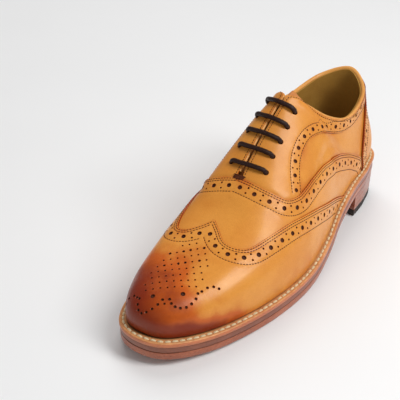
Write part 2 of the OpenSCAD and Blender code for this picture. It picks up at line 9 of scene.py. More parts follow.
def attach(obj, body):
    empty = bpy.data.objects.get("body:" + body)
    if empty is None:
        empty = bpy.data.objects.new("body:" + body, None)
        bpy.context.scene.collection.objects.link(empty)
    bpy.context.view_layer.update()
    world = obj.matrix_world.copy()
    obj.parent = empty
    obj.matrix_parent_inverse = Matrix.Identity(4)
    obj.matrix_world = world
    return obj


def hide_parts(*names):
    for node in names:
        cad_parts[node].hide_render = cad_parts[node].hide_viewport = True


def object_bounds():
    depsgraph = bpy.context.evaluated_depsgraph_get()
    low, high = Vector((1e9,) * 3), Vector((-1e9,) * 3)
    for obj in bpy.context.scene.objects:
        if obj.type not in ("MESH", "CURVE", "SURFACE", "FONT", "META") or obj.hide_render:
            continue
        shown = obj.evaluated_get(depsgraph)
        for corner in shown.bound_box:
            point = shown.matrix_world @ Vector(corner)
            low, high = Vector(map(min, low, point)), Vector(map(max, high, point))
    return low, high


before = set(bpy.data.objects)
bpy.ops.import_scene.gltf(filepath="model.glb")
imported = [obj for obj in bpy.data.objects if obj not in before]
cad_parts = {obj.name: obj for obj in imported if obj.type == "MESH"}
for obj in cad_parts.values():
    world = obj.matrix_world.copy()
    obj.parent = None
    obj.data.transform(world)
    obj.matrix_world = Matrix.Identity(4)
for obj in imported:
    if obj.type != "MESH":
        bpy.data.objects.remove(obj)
cad_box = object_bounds()

# ---------------------------------------------------------------------------
# The last: the outer surface of the upper, the same one the CAD model uses.
# A place is (s, v). s is the station round the shoe: 0 toe tip, 7 top of the
# lacing, 11 heel back. v is 0 on the ridge or topline, 1 at the welt on the
# outer side and -1 at the welt on the inner side. Lengths are millimetres here
# and turn into metres when a mesh is made.
# ---------------------------------------------------------------------------
MM = 0.001
SHOE_LENGTH = 306.0
SCALE = (cad_box[1][1] - cad_box[0][1]) / MM / SHOE_LENGTH

# Edge of the sole at stations 0 to 11, as (across, distance from the heel)
EDGE_LAT = [(-7, 306), (14.5, 300), (32.5, 275), (46, 239), (54, 202), (56, 167),
            (51.5, 132), (44.5, 99), (40.5, 67), (38, 37), (29, 10), (1, 0)]
EDGE_MED = [(-7, 306), (-26, 298), (-38.5, 274), (-44, 243), (-45.5, 211), (-42, 178),
            (-34.5, 144), (-30.5, 108), (-33, 72), (-35.5, 40), (-27.5, 10.5), (1, 0)]
# Width of welt that shows outside the upper, at the same stations
SHOW_LAT = [6.3, 6.3, 6, 5.7, 5.4, 5.1, 4.8, 4.5, 4, 4, 4.5, 5]
SHOW_MED = [6.3, 5.6, 5.4, 5.4, 5.2, 4.6, 3.5, 3, 3.5, 4, 4.5, 5]
# Ridge of the upper at stations 0 to 7, then the topline at stations 7 to 11
RIDGE = [(-7, 259, 47), (-7, 255, 47.7), (-6.5, 246, 49.6), (-6, 228, 54.8),
         (-6, 203, 64.6), (-6.5, 177, 79.8), (-7, 148, 99), (-5.5, 116, 120.5)]
TOP_LAT = [(-5.5, 116, 120.5), (20, 87, 98), (25.5, 56, 88.5), (20, 21, 96.5), (0, 7, 107)]
TOP_MED = [(-5.5, 116, 120.5), (-26.5, 87, 101), (-32, 56, 93.5), (-23, 21, 100.5), (0, 7, 107)]
# Cross-section: bulge at the welt, its height, reach of the crown, how far it dips
SECT_LAT = [(2.6, .85, 24, 0), (2.2, .85, 26, 0), (2.5, .85, 28, 0), (3, .85, 31, 0),
            (3, .8, 31, 0), (2.5, .72, 27, 0), (2, .62, 21, 0), (2, .55, 15, 3),
            (2.5, .45, 7, 22), (3, .42, 3, 22), (3.7, .42, 2, 26), (4.6, .42, 1, 28)]
SECT_MED = [(2.6, .85, 24, 0), (3.2, .85, 26, 0), (3.3, .85, 29, 0), (3, .85, 34, 0),
            (3, .8, 36, 0), (2, .74, 34, 0), (1, .66, 31, 0), (0, .6, 23, 3),
            (0, .5, 10, 22), (2, .42, 4, 22), (3.6, .42, 2, 26), (4.6, .42, 1, 28)]
# Height of the underside of the sole over the ground, at even steps from heel to toe
SOLE_RISE = [23.6, 22.5, 19.2, 12.4, 5.2, 0.9, 0.1, 0.5, 2.2, 6.2]
# Extra height of the topline just behind the top of the lacing
CORNER_RISE = 4.2
RIDGE_END, HEEL_BACK = 7, 11
# Heights over the underside of the sole
OUTSOLE_TOP, MIDSOLE_TOP, WELT_TOP = 5.9, 10.65, 14.5


def unit(v):
    """Vectors of length 1 with the same directions."""
    return v / (np.linalg.norm(v, axis=-1, keepdims=True) + 1e-12)


def lengths(p):
    """Distance from the first point to each point along a line of points."""
    return np.concatenate([[0], np.cumsum(np.linalg.norm(np.diff(p, axis=0), axis=1))])


def sampled(points, d, at):
    """The points at the distances at, on a line whose own points lie at the distances d."""
    return np.column_stack([np.interp(at, d, column) for column in points.T])


def turns(n):
    """n even angles round a circle."""
    return np.arange(n) * 2 * math.pi / n


def circle(x, y, r, n=16):
    """Points of a circle in plan."""
    return np.column_stack([x + r * np.cos(turns(n)), y + r * np.sin(turns(n))])


def tree_of(points):
    """A search tree over points."""
    tree = kdtree.KDTree(len(points))
    for i, p in enumerate(points):
        tree.insert(p, i)
    tree.balance()
    return tree


def ease(x):
    """A smooth step from 0 to 1 as x goes from 0 to 1."""
    c = np.clip(x, 0, 1)
    return c * c * (3 - 2 * c)


def curve(points, u):
    """Smooth curve through the rows of points at u, an array of row numbers."""
    p = np.asarray(points, float)
    flat = p.ndim == 1
    if flat:
        p = p[:, None]
    n = len(p)
    u = np.clip(np.asarray(u, float), 0, n - 1)
    i = np.minimum(u.astype(int), n - 2)
    f = (u - i)[..., None]
    q = np.vstack([2 * p[0] - p[1], p, 2 * p[-1] - p[-2]])
    a, b, c, d = q[i], q[i + 1], q[i + 2], q[i + 3]
    r = 0.5 * (2 * b + (c - a) * f + (2 * a - 5 * b + 4 * c - d) * f ** 2
               + (3 * b - 3 * c + d - a) * f ** 3)
    return r[..., 0] if flat else r


def both_ends(p, q):
    """A side's list, carried on round the toe and the heel with the other side's."""
    return np.array([q[2], q[1], *p, q[10], q[9]], float)


def heel_end(p, q):
    """A side's list, carried on round the heel with the other side's."""
    return np.array([*p, q[-2], q[-3]], float)


EDGES = (both_ends(EDGE_LAT, EDGE_MED), both_ends(EDGE_MED, EDGE_LAT))
SHOWS = (both_ends(SHOW_LAT, SHOW_MED), both_ends(SHOW_MED, SHOW_LAT))
TOPS = (heel_end(TOP_LAT, TOP_MED), heel_end(TOP_MED, TOP_LAT))
SECTS = (heel_end(SECT_LAT, SECT_MED), heel_end(SECT_MED, SECT_LAT))


def edge(side, s):
    """Points of the sole's edge in plan."""
    return curve(EDGES[side < 0], np.asarray(s, float) + 2)


def edge_out(side, s):
    """Direction out of the sole, square to its edge."""
    t = unit(edge(side, np.asarray(s) + 0.01) - edge(side, np.asarray(s) - 0.01))
    return np.stack([-side * t[..., 1], side * t[..., 0]], -1)


def sole_rise(y):
    """Height of the underside of the sole at distances y from the heel."""
    u = np.clip(np.asarray(y) / SHOE_LENGTH, 0, 1) * (len(SOLE_RISE) - 1)
    return np.maximum(0, curve(SOLE_RISE, u) - 0.1)


_plan = np.vstack([edge(side, np.linspace(0, HEEL_BACK, 56)) for side in (1, -1)])
MIDDLE = (_plan.min(0) + _plan.max(0)) / 2


def in_frame(p):
    """The same points in the frame: centred in plan, with the toe towards -y."""
    p = np.asarray(p, float)
    return np.stack([p[..., 0] - MIDDLE[0], MIDDLE[1] - p[..., 1], p[..., 2]], -1) * SCALE


def crest(side, s):
    """Points of the ridge, then of the topline on one side."""
    low = curve(RIDGE, np.minimum(s, RIDGE_END))
    high = curve(TOPS[side < 0], np.maximum(s - RIDGE_END, 0))
    u = np.clip(s - RIDGE_END, 0, 1)
    high[..., 2] += CORNER_RISE * 9.48 * u * (1 - u) ** 3
    return np.where((s <= RIDGE_END)[..., None], low, high)


def crest_slope(s):
    """How steeply the ridge rises at stations; it fades out behind the top of the lacing."""
    c = np.minimum(s, RIDGE_END)
    a = curve(RIDGE, np.maximum(c - 0.01, 0))
    b = curve(RIDGE, np.minimum(c + 0.01, RIDGE_END))
    return (b[..., 2] - a[..., 2]) / (b[..., 1] - a[..., 1]) * np.clip(7.5 - s, 0, 1)


def one_side(side, s, t):
    """Points of the last on one side, from t = 0 at the welt to t = 1 at the crest."""
    e = edge(side, s)
    out = edge_out(side, s)
    h = curve(SECTS[side < 0], s)
    foot = e - out * curve(SHOWS[side < 0], s + 2)[..., None]
    z = sole_rise(e[..., 1]) + WELT_TOP
    top = crest(side, s)
    to = unit(foot - top[..., :2])
    p0 = np.stack([foot[..., 0], foot[..., 1], z], -1)
    p1 = np.stack([foot[..., 0] + out[..., 0] * h[..., 0], foot[..., 1] + out[..., 1] * h[..., 0],
                   z + h[..., 1] * (top[..., 2] - z)], -1)
    reach = h[..., 2]
    p2 = top + np.stack([reach * to[..., 0], reach * to[..., 1],
                         reach * to[..., 1] * crest_slope(s) - h[..., 3]], -1)
    t = t[..., None]
    r = 1 - t
    return in_frame(r ** 3 * p0 + 3 * r * r * t * p1 + 3 * r * t * t * p2 + t ** 3 * top)


def last(s, v):
    """Points of the last at places (s, v); s below 0 is the other side of the toe tip."""
    s, v = np.broadcast_arrays(np.asarray(s, float), np.asarray(v, float))
    v = np.where(s < 0, -v, v)
    s = np.abs(s)
    t = 1 - np.minimum(np.abs(v), 1)
    return np.where((v >= 0)[..., None], one_side(1, s, t), one_side(-1, s, t))


def jacobian(s, v, e=0.004):
    """How the last's points move with s and with v, and its outward normals."""
    s = np.where(np.abs(s) < 0.3, np.where(np.abs(v) < 0.06, 0.3, s), s)
    ds = (last(s + e, v) - last(s - e, v)) / (2 * e)
    dv = (last(s, v + e) - last(s, v - e)) / (2 * e)
    edge_on = (np.abs(v) < 1.5 * e) & (s > RIDGE_END)
    side = np.where(v < 0, -1, 1)
    inner = (last(s, v + 2 * e * side) - last(s, v)) / (2 * e * side)[..., None]
    dv = np.where(edge_on[..., None], inner, dv)
    ds_in = (last(s + e, v + side * e) - last(s - e, v + side * e)) / (2 * e)
    ds = np.where(edge_on[..., None], ds_in, ds)
    return ds, dv, unit(np.cross(dv, ds))


def skin(s, v, lift):
    """Points lifted off the last along its normal, and the normals."""
    s, v = np.asarray(s, float), np.asarray(v, float)
    n = jacobian(s, v)[2]
    return last(s, v) + np.asarray(lift, float)[..., None] * n, n


def on_last(sv):
    """Points of the last at the rows (s, v) of sv."""
    return last(*sv.T)


def lifted(sv, lift):
    """Points lifted off the last at the rows (s, v) of sv, and the normals there."""
    return skin(*sv.T, lift)


def moved(sv, step):
    """Places reached from sv by short straight steps (3-D vectors) on the surface."""
    sv = np.array(sv, float)
    for _ in range(3):
        ds, dv, _ = jacobian(*sv.T)
        part = step / 3
        a, b, c = (ds * ds).sum(-1), (ds * dv).sum(-1), (dv * dv).sum(-1)
        p, q = (ds * part).sum(-1), (dv * part).sum(-1)
        det = np.maximum(a * c - b * b, 1e-9)
        sv[:, 0] += np.clip((c * p - b * q) / det, -0.5, 0.5)
        sv[:, 1] += np.clip((a * q - b * p) / det, -0.2, 0.2)
    return sv


def along(sv):
    """Distance along a line of places."""
    return lengths(on_last(sv))


def spaced(sv, step, start=0.0, end=0.0):
    """Places at even distances along a line."""
    d = along(sv)
    n = max(int(round((d[-1] - start - end) / step)), 1)
    at = np.linspace(start, d[-1] - end, n + 1)
    return sampled(sv, d, at)


def tangents(sv):
    """Directions along a line of places."""
    return unit(np.gradient(on_last(sv), axis=0))


def leftward(sv):
    """Directions to the left of a line of places, seen from outside."""
    return np.cross(jacobian(*sv.T)[2], tangents(sv))


def beside(sv, distance):
    """The line that runs at a distance to the left of sv, seen from outside."""
    return moved(sv, leftward(sv) * distance)


def smooth_line(places, side=1, step=1.0):
    """Line of places from a short list of [s, t] on one side."""
    p = curve(places, np.linspace(0, len(places) - 1, 40 * len(places)))
    sv = np.column_stack([p[:, 0], side * (1 - p[:, 1])])
    return spaced(sv, step)


def distance_to(line):
    """A function that gives the distance of places from a line of places."""
    tree = tree_of(on_last(line))
    return lambda sv: np.array([tree.find(q)[2] for q in on_last(sv)])


def canonical(sv):
    """The same places with s between 0 and 11."""
    sv = np.array(sv, float)
    back = sv[:, 0] < 0
    sv[back] *= -1
    over = sv[:, 0] > HEEL_BACK
    sv[over, 0] = 2 * HEEL_BACK - sv[over, 0]
    sv[over, 1] *= -1
    return sv


# ---------------------------------------------------------------------------
# Meshes
# ---------------------------------------------------------------------------
class Build:
    """Collects the points, faces and face materials of one piece."""

    def __init__(self):
        self.points, self.faces, self.slots, self.dye_and_shade = [], [], [], []
        self.count = 0

    def add(self, points, dye_and_shade=0.0):
        """Adds points with how dark they are, and gives their numbers."""
        points = np.asarray(points, float).reshape(-1, 3)
        self.points.append(points)
        self.dye_and_shade.append(np.broadcast_to(np.asarray(dye_and_shade, float), (len(points),)))
        first = self.count
        self.count += len(points)
        return np.arange(first, self.count)

    def face(self, *corners, slot=0):
        self.faces.append(tuple(int(c) for c in corners))
        self.slots.append(slot)

    def strip(self, a, b, closed=True, slot=0):
        """Quads between two rows of point numbers of the same length."""
        n = len(a)
        for i in range(n if closed else n - 1):
            j = (i + 1) % n
            self.face(a[i], a[j], b[j], b[i], slot=slot)

    def grid(self, rows, closed=False, slot=0):
        """Quads between rows of point numbers."""
        for a, b in zip(rows[:-1], rows[1:]):
            self.strip(a, b, closed, slot)

    def sheet(self, rows, under):
        """Two grids of the same size, closed all round."""
        self.grid(rows)
        self.grid(under[::-1])
        self.strip(under[0], rows[0], closed=False)
        self.strip(rows[-1], under[-1], closed=False)
        self.strip([r[0] for r in rows], [r[0] for r in under], closed=False)
        self.strip([r[-1] for r in under], [r[-1] for r in rows], closed=False)

    def fan(self, ring, centre, slot=0, flip=False):
        """Triangles from a closed ring to one point."""
        for i in range(len(ring)):
            j = (i + 1) % len(ring)
            a, b = (ring[j], ring[i]) if flip else (ring[i], ring[j])
            self.face(a, b, centre, slot=slot)

    def piece(self, name, materials, body="shoe", slot=None, stands_for=(), sharp=50):
        """Makes the object, in metres, that rides on a body and replaces CAD nodes."""
        mesh = bpy.data.meshes.new(name)
        points = np.vstack(self.points) * MM
        mesh.from_pydata(points.tolist(), [], self.faces)
        for m in materials:
            mesh.materials.append(m)
        mesh.polygons.foreach_set("material_index", self.slots)
        mesh.polygons.foreach_set("use_smooth", [True] * len(self.faces))
        # Darkness of each point for the materials: dye of the hand finish and the dressed edges,
        # and painted shade in creases, hole floors and on the welt.
        layer = mesh.attributes.new("dye_and_shade", "FLOAT", "POINT")
        layer.data.foreach_set("value", np.concatenate(self.dye_and_shade).astype(np.float32))
        mesh.set_sharp_from_angle(angle=math.radians(sharp))
        mesh.update()
        obj = bpy.data.objects.new(name, mesh)
        bpy.context.scene.collection.objects.link(obj)
        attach(obj, body)
        if stands_for:
            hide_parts(*stands_for)
        return obj


def inside(loop, points):
    """Which 2-D points lie inside a closed loop."""
    x, y = points[:, 0], points[:, 1]
    found = np.zeros(len(points), bool)
    a = loop
    b = np.roll(loop, -1, axis=0)
    for (ax, ay), (bx, by) in zip(a, b):
        if ay != by:
            cross = (ay > y) != (by > y)
            found ^= cross & (x < (bx - ax) * (y - ay) / (by - ay) + ax)
    return found


def thinned(points, gap, keep_off, keep_gap):
    """Numbers of the points that stay when each keeps a gap from the others."""
    cells = {}

    def near(p, cell, reach, store):
        for i in range(cell[0] - 1, cell[0] + 2):
            for j in range(cell[1] - 1, cell[1] + 2):
                for k in range(cell[2] - 1, cell[2] + 2):
                    for q in store.get((i, j, k), ()):
                        if (p[0] - q[0]) ** 2 + (p[1] - q[1]) ** 2 + (p[2] - q[2]) ** 2 < reach:
                            return True
        return False

    fixed = {}
    for q in keep_off.tolist():
        fixed.setdefault(tuple(int(math.floor(c / gap)) for c in q), []).append(q)
    kept = []
    for i, p in enumerate(points.tolist()):
        cell = tuple(int(math.floor(c / gap)) for c in p)
        if near(p, cell, keep_gap ** 2, fixed) or near(p, cell, gap ** 2, cells):
            continue
        cells.setdefault(cell, []).append(p)
        kept.append(i)
    return np.array(kept, int)


# ---------------------------------------------------------------------------
# Charts: flat maps in which a leather piece is cut into triangles
# ---------------------------------------------------------------------------
def side_chart(sv):
    """The sides and the instep, with roughly true lengths."""
    sv = canonical(sv)
    return np.column_stack([sv[:, 0] * 30, sv[:, 1] * 85])


def heel_chart(sv):
    """The back of the shoe, opened out from the heel's middle."""
    sv = canonical(sv)
    return np.column_stack([np.sign(sv[:, 1]) * (HEEL_BACK - sv[:, 0]) * 28,
                            (1 - np.abs(sv[:, 1])) * 80])


ARC_S = np.linspace(0, 8, 161)
ARC_V = np.linspace(0, 1, 65)


def arcs(side):
    """For each station: plan of the ridge, way out from it and arc lengths down the section."""
    s, v = np.meshgrid(ARC_S, ARC_V * side, indexing="ij")
    p = last(s, v)
    step = np.linalg.norm(np.diff(p, axis=1), axis=2)
    arc = np.concatenate([np.zeros((len(ARC_S), 1)), np.cumsum(step, axis=1)], axis=1)
    return p[:, 0, :2], unit(p[:, -1, :2] - p[:, 0, :2]), arc


ARCS = {1: arcs(1), -1: arcs(-1)}


def toe_chart(sv):
    """The forepart unrolled, section by section, from the plan of its ridge."""
    sv = canonical(sv)
    made = np.zeros((len(sv), 2))
    for side in (1, -1):
        rows = (sv[:, 1] >= 0) == (side > 0)
        start, way, arc = ARCS[side]
        s, v = sv[rows, 0], np.abs(sv[rows, 1])
        i = np.clip((s / ARC_S[1]).astype(int), 0, len(ARC_S) - 2)
        f = s / ARC_S[1] - i
        j = np.clip((v / ARC_V[1]).astype(int), 0, len(ARC_V) - 2)
        g = v / ARC_V[1] - j
        far = ((arc[i, j] * (1 - g) + arc[i, j + 1] * g) * (1 - f)
               + (arc[i + 1, j] * (1 - g) + arc[i + 1, j + 1] * g) * f)
        f = f[:, None]
        made[rows] = (start[i] * (1 - f) + start[i + 1] * f
                      + (way[i] * (1 - f) + way[i + 1] * f) * far[:, None])
    return made


# ---------------------------------------------------------------------------
# Leather pieces
# ---------------------------------------------------------------------------
def ring_round(place, radius, sides):
    """Places on a circle round a place."""
    sv = np.repeat(place[None], sides, axis=0)
    ds, _, n = jacobian(*sv.T)
    a = unit(ds)
    w = turns(sides)[:, None]
    return moved(sv, radius * (np.cos(w) * a + np.sin(w) * np.cross(n, a)))


def area(loop):
    """Area of a closed loop of 2-D points."""
    x, y = loop[:, 0], loop[:, 1]
    return abs((x * np.roll(y, -1) - y * np.roll(x, -1)).sum()) / 2


def closed_beside(sv, distance):
    """The closed loop of places drawn in by a distance."""
    padded = np.vstack([sv[-3:], sv, sv[:3]])
    return beside(padded, distance)[3:-3]


# How far the rounding of a cut edge reaches in, and how much darker its dye is
EDGE_ROUND, EDGE_BURN = 0.4, 0.55
# How far the lip of a punched hole reaches out and dips
HOLE_LIP = 0.22
# Smallest distance of a crease from the holes and the edge, and of a hole's lip from other points
CREASE_CLEAR, HOLE_CLEAR = 0.55, 0.5
# The points tried between the fixed ones: the gap between points is divided by these for the
# steps of s and v, and the last is the part of the gap that they keep from the fixed ones
STEPS_S, STEPS_V, FIXED_GAP = 55, 190, 0.62
# How deep the first rings of a rounded edge lie
EDGE_DROPS = (0.1, 0.38)


class Leather:
    """A piece of leather on the last: an outline, punched holes and rows of stitches."""

    def __init__(self, outline, chart, lift, thick=1.15, gap=2.2, dye_and_shade=None):
        self.outline = np.array(outline, float)
        self.chart, self.thick, self.gap = chart, thick, gap
        self.lift = lift if callable(lift) else (lambda sv: np.full(len(sv), float(lift)))
        self.burn_at = dye_and_shade or (lambda sv: np.zeros(len(sv)))
        self.holes, self.rows = [], []

    def punch(self, places, radius, sides):
        """Holes at places."""
        self.holes += [(p, radius, sides) for p in np.asarray(places).reshape(-1, 2)]

    def crease(self, line, depth=0.2, half=0.75):
        """A groove along a line of places, for a row of stitches; it is darkened as painted shade.
        """
        self.rows.append((line, depth, half))

    def make(self, node):
        """Cuts the piece that stands for a CAD node."""
        chart, sign = self.chart, 1
        # The edge, drawn in by its rounding. The side that is inside is the one that shrinks
        inset = closed_beside(self.outline, EDGE_ROUND)
        if area(chart(inset)) > area(chart(self.outline)):
            sign = -1
            inset = closed_beside(self.outline, -EDGE_ROUND)
        loop2 = chart(inset)
        # Points that have to be in the surface: the edge, the holes, the creases
        fixed, drop, n = [inset], [np.zeros(len(inset))], len(inset)
        edges = [(i, (i + 1) % n) for i in range(n)]
        rings = []
        for place, radius, sides in self.holes:
            rings.append(np.arange(n, n + sides))
            fixed.append(ring_round(place, radius + HOLE_LIP, sides))
            drop.append(np.zeros(sides))
            edges += [(n + i, n + (i + 1) % sides) for i in range(sides)]
            n += sides
        taken = tree_of(np.vstack([on_last(f) for f in fixed]))
        for line, depth, half in self.rows:
            for offset, low in ((0, depth), (half, 0.0), (-half, 0.0)):
                sv = canonical(beside(line, offset) if offset else line)
                free = np.array([taken.find(q)[2] > CREASE_CLEAR for q in on_last(sv)])
                sv = sv[free & inside(loop2, chart(sv))]
                fixed.append(sv)
                drop.append(np.full(len(sv), low))
        fixed = np.vstack(fixed)
        drop = np.concatenate(drop)
        # Points between them
        c = canonical(inset)
        s = np.arange(c[:, 0].min(), c[:, 0].max() + 0.03, self.gap / STEPS_S)
        v = np.arange(c[:, 1].min(), c[:, 1].max() + 0.01, self.gap / STEPS_V)
        grid = np.stack(np.meshgrid(s, v, indexing="ij"), -1).reshape(-1, 2)
        grid = grid[inside(loop2, chart(grid))]
        more = grid[thinned(on_last(grid), self.gap, on_last(fixed), self.gap * FIXED_GAP)]
        for place, radius, _ in self.holes:
            more = more[np.linalg.norm(on_last(more) - last(*place), axis=1) > radius + HOLE_CLEAR]
        places = np.vstack([fixed, more])
        drop = np.concatenate([drop, np.zeros(len(more))])
        # Triangles between all of them, cut in the chart
        _, _, tris, back, _, _ = delaunay_2d_cdt(
            [Vector(p) for p in chart(places).tolist()], edges, [], 1, 1e-5)
        which = np.array([b[0] if b else -1 for b in back])
        tris = np.array([t for t in tris if len(t) == 3 and min(which[list(t)]) >= 0])
        tris = which[tris]
        lift = self.lift(places)
        top, normal = lifted(places, lift - drop)
        face_n = np.cross(top[tris[:, 1]] - top[tris[:, 0]], top[tris[:, 2]] - top[tris[:, 0]])
        good = np.linalg.norm(face_n, axis=1) > 1e-7
        turned = (face_n * normal[tris[:, 0]]).sum(1) < 0
        tris[turned] = tris[turned][:, ::-1]
        owner = np.full(len(places), -1)
        for k, r in enumerate(rings):
            owner[r] = k
        o = owner[tris]
        in_hole = (o[:, 0] >= 0) & (o[:, 0] == o[:, 1]) & (o[:, 1] == o[:, 2])
        b = Build()
        # Darkness: the hand finish, plus painted shade in the stitch creases, 0.9 for each
        # millimetre of their depth.
        shade = np.clip(self.burn_at(places) + 0.9 * drop, 0, 1)
        outer = b.add(top, shade)
        inner = b.add(lifted(places, lift - self.thick)[0], shade)
        for t in outer[tris[good & ~in_hole]]:
            b.face(*t)
        for t in inner[tris[good]]:
            b.face(*t[::-1], slot=1)
        # The rounded edge all round
        rim = closed_beside(inset, -EDGE_ROUND * sign)
        mid = closed_beside(inset, -0.75 * EDGE_ROUND * sign)
        low = self.lift(rim)
        rim_shade = np.clip(self.burn_at(rim) + EDGE_BURN, 0, 1)
        r1, r2, r3 = (b.add(lifted(q, low - down)[0], rim_shade)
                      for q, down in zip((mid, rim, rim), (*EDGE_DROPS, self.thick)))
        count = len(inset)
        p = top[:count]
        out = np.cross(np.roll(p, -1, axis=0) - p, normal[:count])
        away = (out * (lifted(rim, low)[0] - p)).sum() > 0
        loops = [outer[:count], r1, r2, r3, inner[:count]]
        if away:
            loops = loops[::-1]
        b.grid(loops, closed=True)
        # The holes, each with a wall and a floor. The lip takes the darker edge dye; the lower wall
        # and the floor are the dark underlay, darkened further as painted shade.
        for (place, radius, sides), ring in zip(self.holes, rings):
            lip = ring_round(place, radius, sides)
            at_lift = self.lift(lip)
            w1 = b.add(lifted(lip, at_lift - HOLE_LIP)[0], 0.8)
            w2 = b.add(lifted(lip, at_lift - self.thick + 0.12)[0], 0.5)
            mid = b.add(lifted(place[None], self.lift(place[None]) - self.thick + 0.1)[0], 0.3)[0]
            spokes = top[ring[:2]] - last(*place)
            rows = [outer[ring], w1, w2]
            if np.dot(np.cross(*spokes), normal[ring[0]]) <= 0:
                rows = [r[::-1] for r in rows]
            b.strip(rows[1], rows[0])
            b.strip(rows[2], rows[1], slot=1)
            b.fan(rows[2], mid, slot=1)
        b.piece(node + "_leather", [TAN, HOLE_UNDERLAY_AND_SHADE], slot="upper_leather", stands_for=[node])


def offset_row(edge_line, distance, whole):
    """The row beside an edge, without the loops that a sharp turn would make."""
    sv = canonical(beside(edge_line, distance))
    side = np.sign(edge_line[len(edge_line) // 2, 1])
    ok = ((distance_to(whole)(sv) > abs(distance) * 0.94 - 0.05) & (sv[:, 1] * side > 0.002)
          & (np.abs(sv[:, 1]) < 0.975))
    return sv[ok]


def add_stitch(b, centre, way, up, length, wide, high, sides=6):
    """One stitch of thread: a short round bar whose ends dive into the leather."""
    across = np.cross(up, way)
    w = turns(sides)[:, None]
    rings = []
    for f, k, h in ((-1, 0.35, -0.55), (-0.74, 0.88, -0.2), (0, 1.05, 0.0),
                    (0.74, 0.88, -0.2), (1, 0.35, -0.55)):
        middle = centre + way * (f * length / 2) + up * (h * high)
        rings.append(b.add(middle + k / 2 * (wide * np.cos(w) * across + high * np.sin(w) * up)))
    b.grid(rings[::-1], closed=True)
    b.face(*rings[0])
    b.face(*rings[-1][::-1])


# Distance between the stitches of a seam, how deep they lie, and their length, width and height
SEAM_PITCH, SEAM_SINK, SEAM_STITCH = 2.2, 0.02, (1.75, 0.62, 0.5)


def stitches(name, lines, lift):
    """Rows of short lockstitches that lie in the creases of a seam."""
    b = Build()
    for line in lines:
        sv = spaced(line, SEAM_PITCH)
        if len(sv) < 3:
            continue
        centre, n = lifted(sv, lift(sv) - SEAM_SINK)
        for c, way, up in zip((centre[:-1] + centre[1:]) / 2, tangents(sv), n):
            add_stitch(b, c, way, up, *SEAM_STITCH)
    b.piece(name, [SEAM_THREAD], slot="tack_thread", sharp=80)


def tube(b, path, r, sides, relief):
    """Round tube along a path; relief(k, w) gives the radius factor at ring k and angles w."""
    d = unit(np.gradient(path, axis=0))
    u = np.cross(d[0], [0.3, 0.5, 0.8])
    w = turns(sides)[:, None]
    rings = []
    for k in range(len(path)):
        u = unit(u - d[k] * np.dot(u, d[k]))
        x = np.cross(d[k], u)
        rings.append(b.add(path[k] + r * relief(k, w) * (np.cos(w) * u + np.sin(w) * x)))
    b.grid([q[::-1] for q in rings], closed=True)
    b.face(*rings[0])
    b.face(*rings[-1][::-1])


# ---------------------------------------------------------------------------
# Materials
# ---------------------------------------------------------------------------
class Nodes:
    """A small helper that wires one node material."""

    def __init__(self, name, roughness, **sockets):
        self.material = bpy.data.materials.new(name)
        self.material.use_nodes = True
        self.tree = self.material.node_tree
        self.shader = self.tree.nodes["Principled BSDF"]
        self.shader.inputs["Roughness"].default_value = roughness
        for key, value in sockets.items():
            self.shader.inputs[key.replace("_", " ")].default_value = value
        self.place = self.tree.nodes.new("ShaderNodeTexCoord").outputs["Object"]

    def new(self, kind, inputs=None, **settings):
        node = self.tree.nodes.new(kind)
        for key, value in settings.items():
            setattr(node, key, value)
        for key, value in (inputs or {}).items():
            self.put(node.inputs[key], value)
        return node

    def put(self, socket, value):
        if isinstance(value, bpy.types.NodeSocket):
            self.tree.links.new(value, socket)
        else:
            socket.default_value = value

    def noise(self, scale, detail=3.0, rough=0.5, vector=None):
        return self.new("ShaderNodeTexNoise", {"Vector": vector or self.place, "Scale": scale,
                                               "Detail": detail, "Roughness": rough}
                        ).outputs["Fac"]

    def cells(self, scale, feature="F1"):
        return self.new("ShaderNodeTexVoronoi", {"Vector": self.place, "Scale": scale},
                        feature=feature).outputs["Distance"]

    def dye_and_shade(self):
        """The darkness that Build.add stores with the points."""
        return self.new("ShaderNodeAttribute", attribute_name="dye_and_shade").outputs["Fac"]

    def map(self, value, low, high, to_low=0.0, to_high=1.0):
        """Eases a value from one range into another."""
        node = self.new("ShaderNodeMapRange", {"Value": value, "From Min": low, "From Max": high,
                                               "To Min": to_low, "To Max": to_high},
                        interpolation_type="SMOOTHSTEP")
        return node.outputs["Result"]

    def math(self, operation, a, b):
        return self.new("ShaderNodeMath", {0: a, 1: b}, operation=operation).outputs[0]

    def mix(self, factor, a, b):
        node = self.new("ShaderNodeMix", data_type="RGBA")
        for key, value in (("Factor", factor), ("A", a), ("B", b)):
            self.put(node.inputs[key], value)
        return node.outputs["Result"]

    def stretched(self, x, y, z):
        node = self.new("ShaderNodeMapping", {"Vector": self.place, "Scale": (x, y, z)})
        return node.outputs["Vector"]

    def height(self, value, strength, distance=0.0002, after=None):
        """Relief from a value, on top of another relief."""
        node = self.new("ShaderNodeBump", {"Height": value, "Strength": strength,
                                           "Distance": distance})
        if after is not None:
            self.put(node.inputs["Normal"], after)
        return node.outputs["Normal"]

    def done(self, color=None, roughness=None, normal=None):
        """Wires the results to the shader and gives the material."""
        for key, value in (("Base Color", color), ("Roughness", roughness), ("Normal", normal)):
            if value is not None:
                self.put(self.shader.inputs[key], value)
        return self.material


def rgb(r, g, b):
    """Colour from 0 to 255 screen values."""
    def part(c):
        c /= 255
        return c / 12.92 if c <= 0.04045 else ((c + 0.055) / 1.055) ** 2.4
    return (part(r), part(g), part(b), 1)


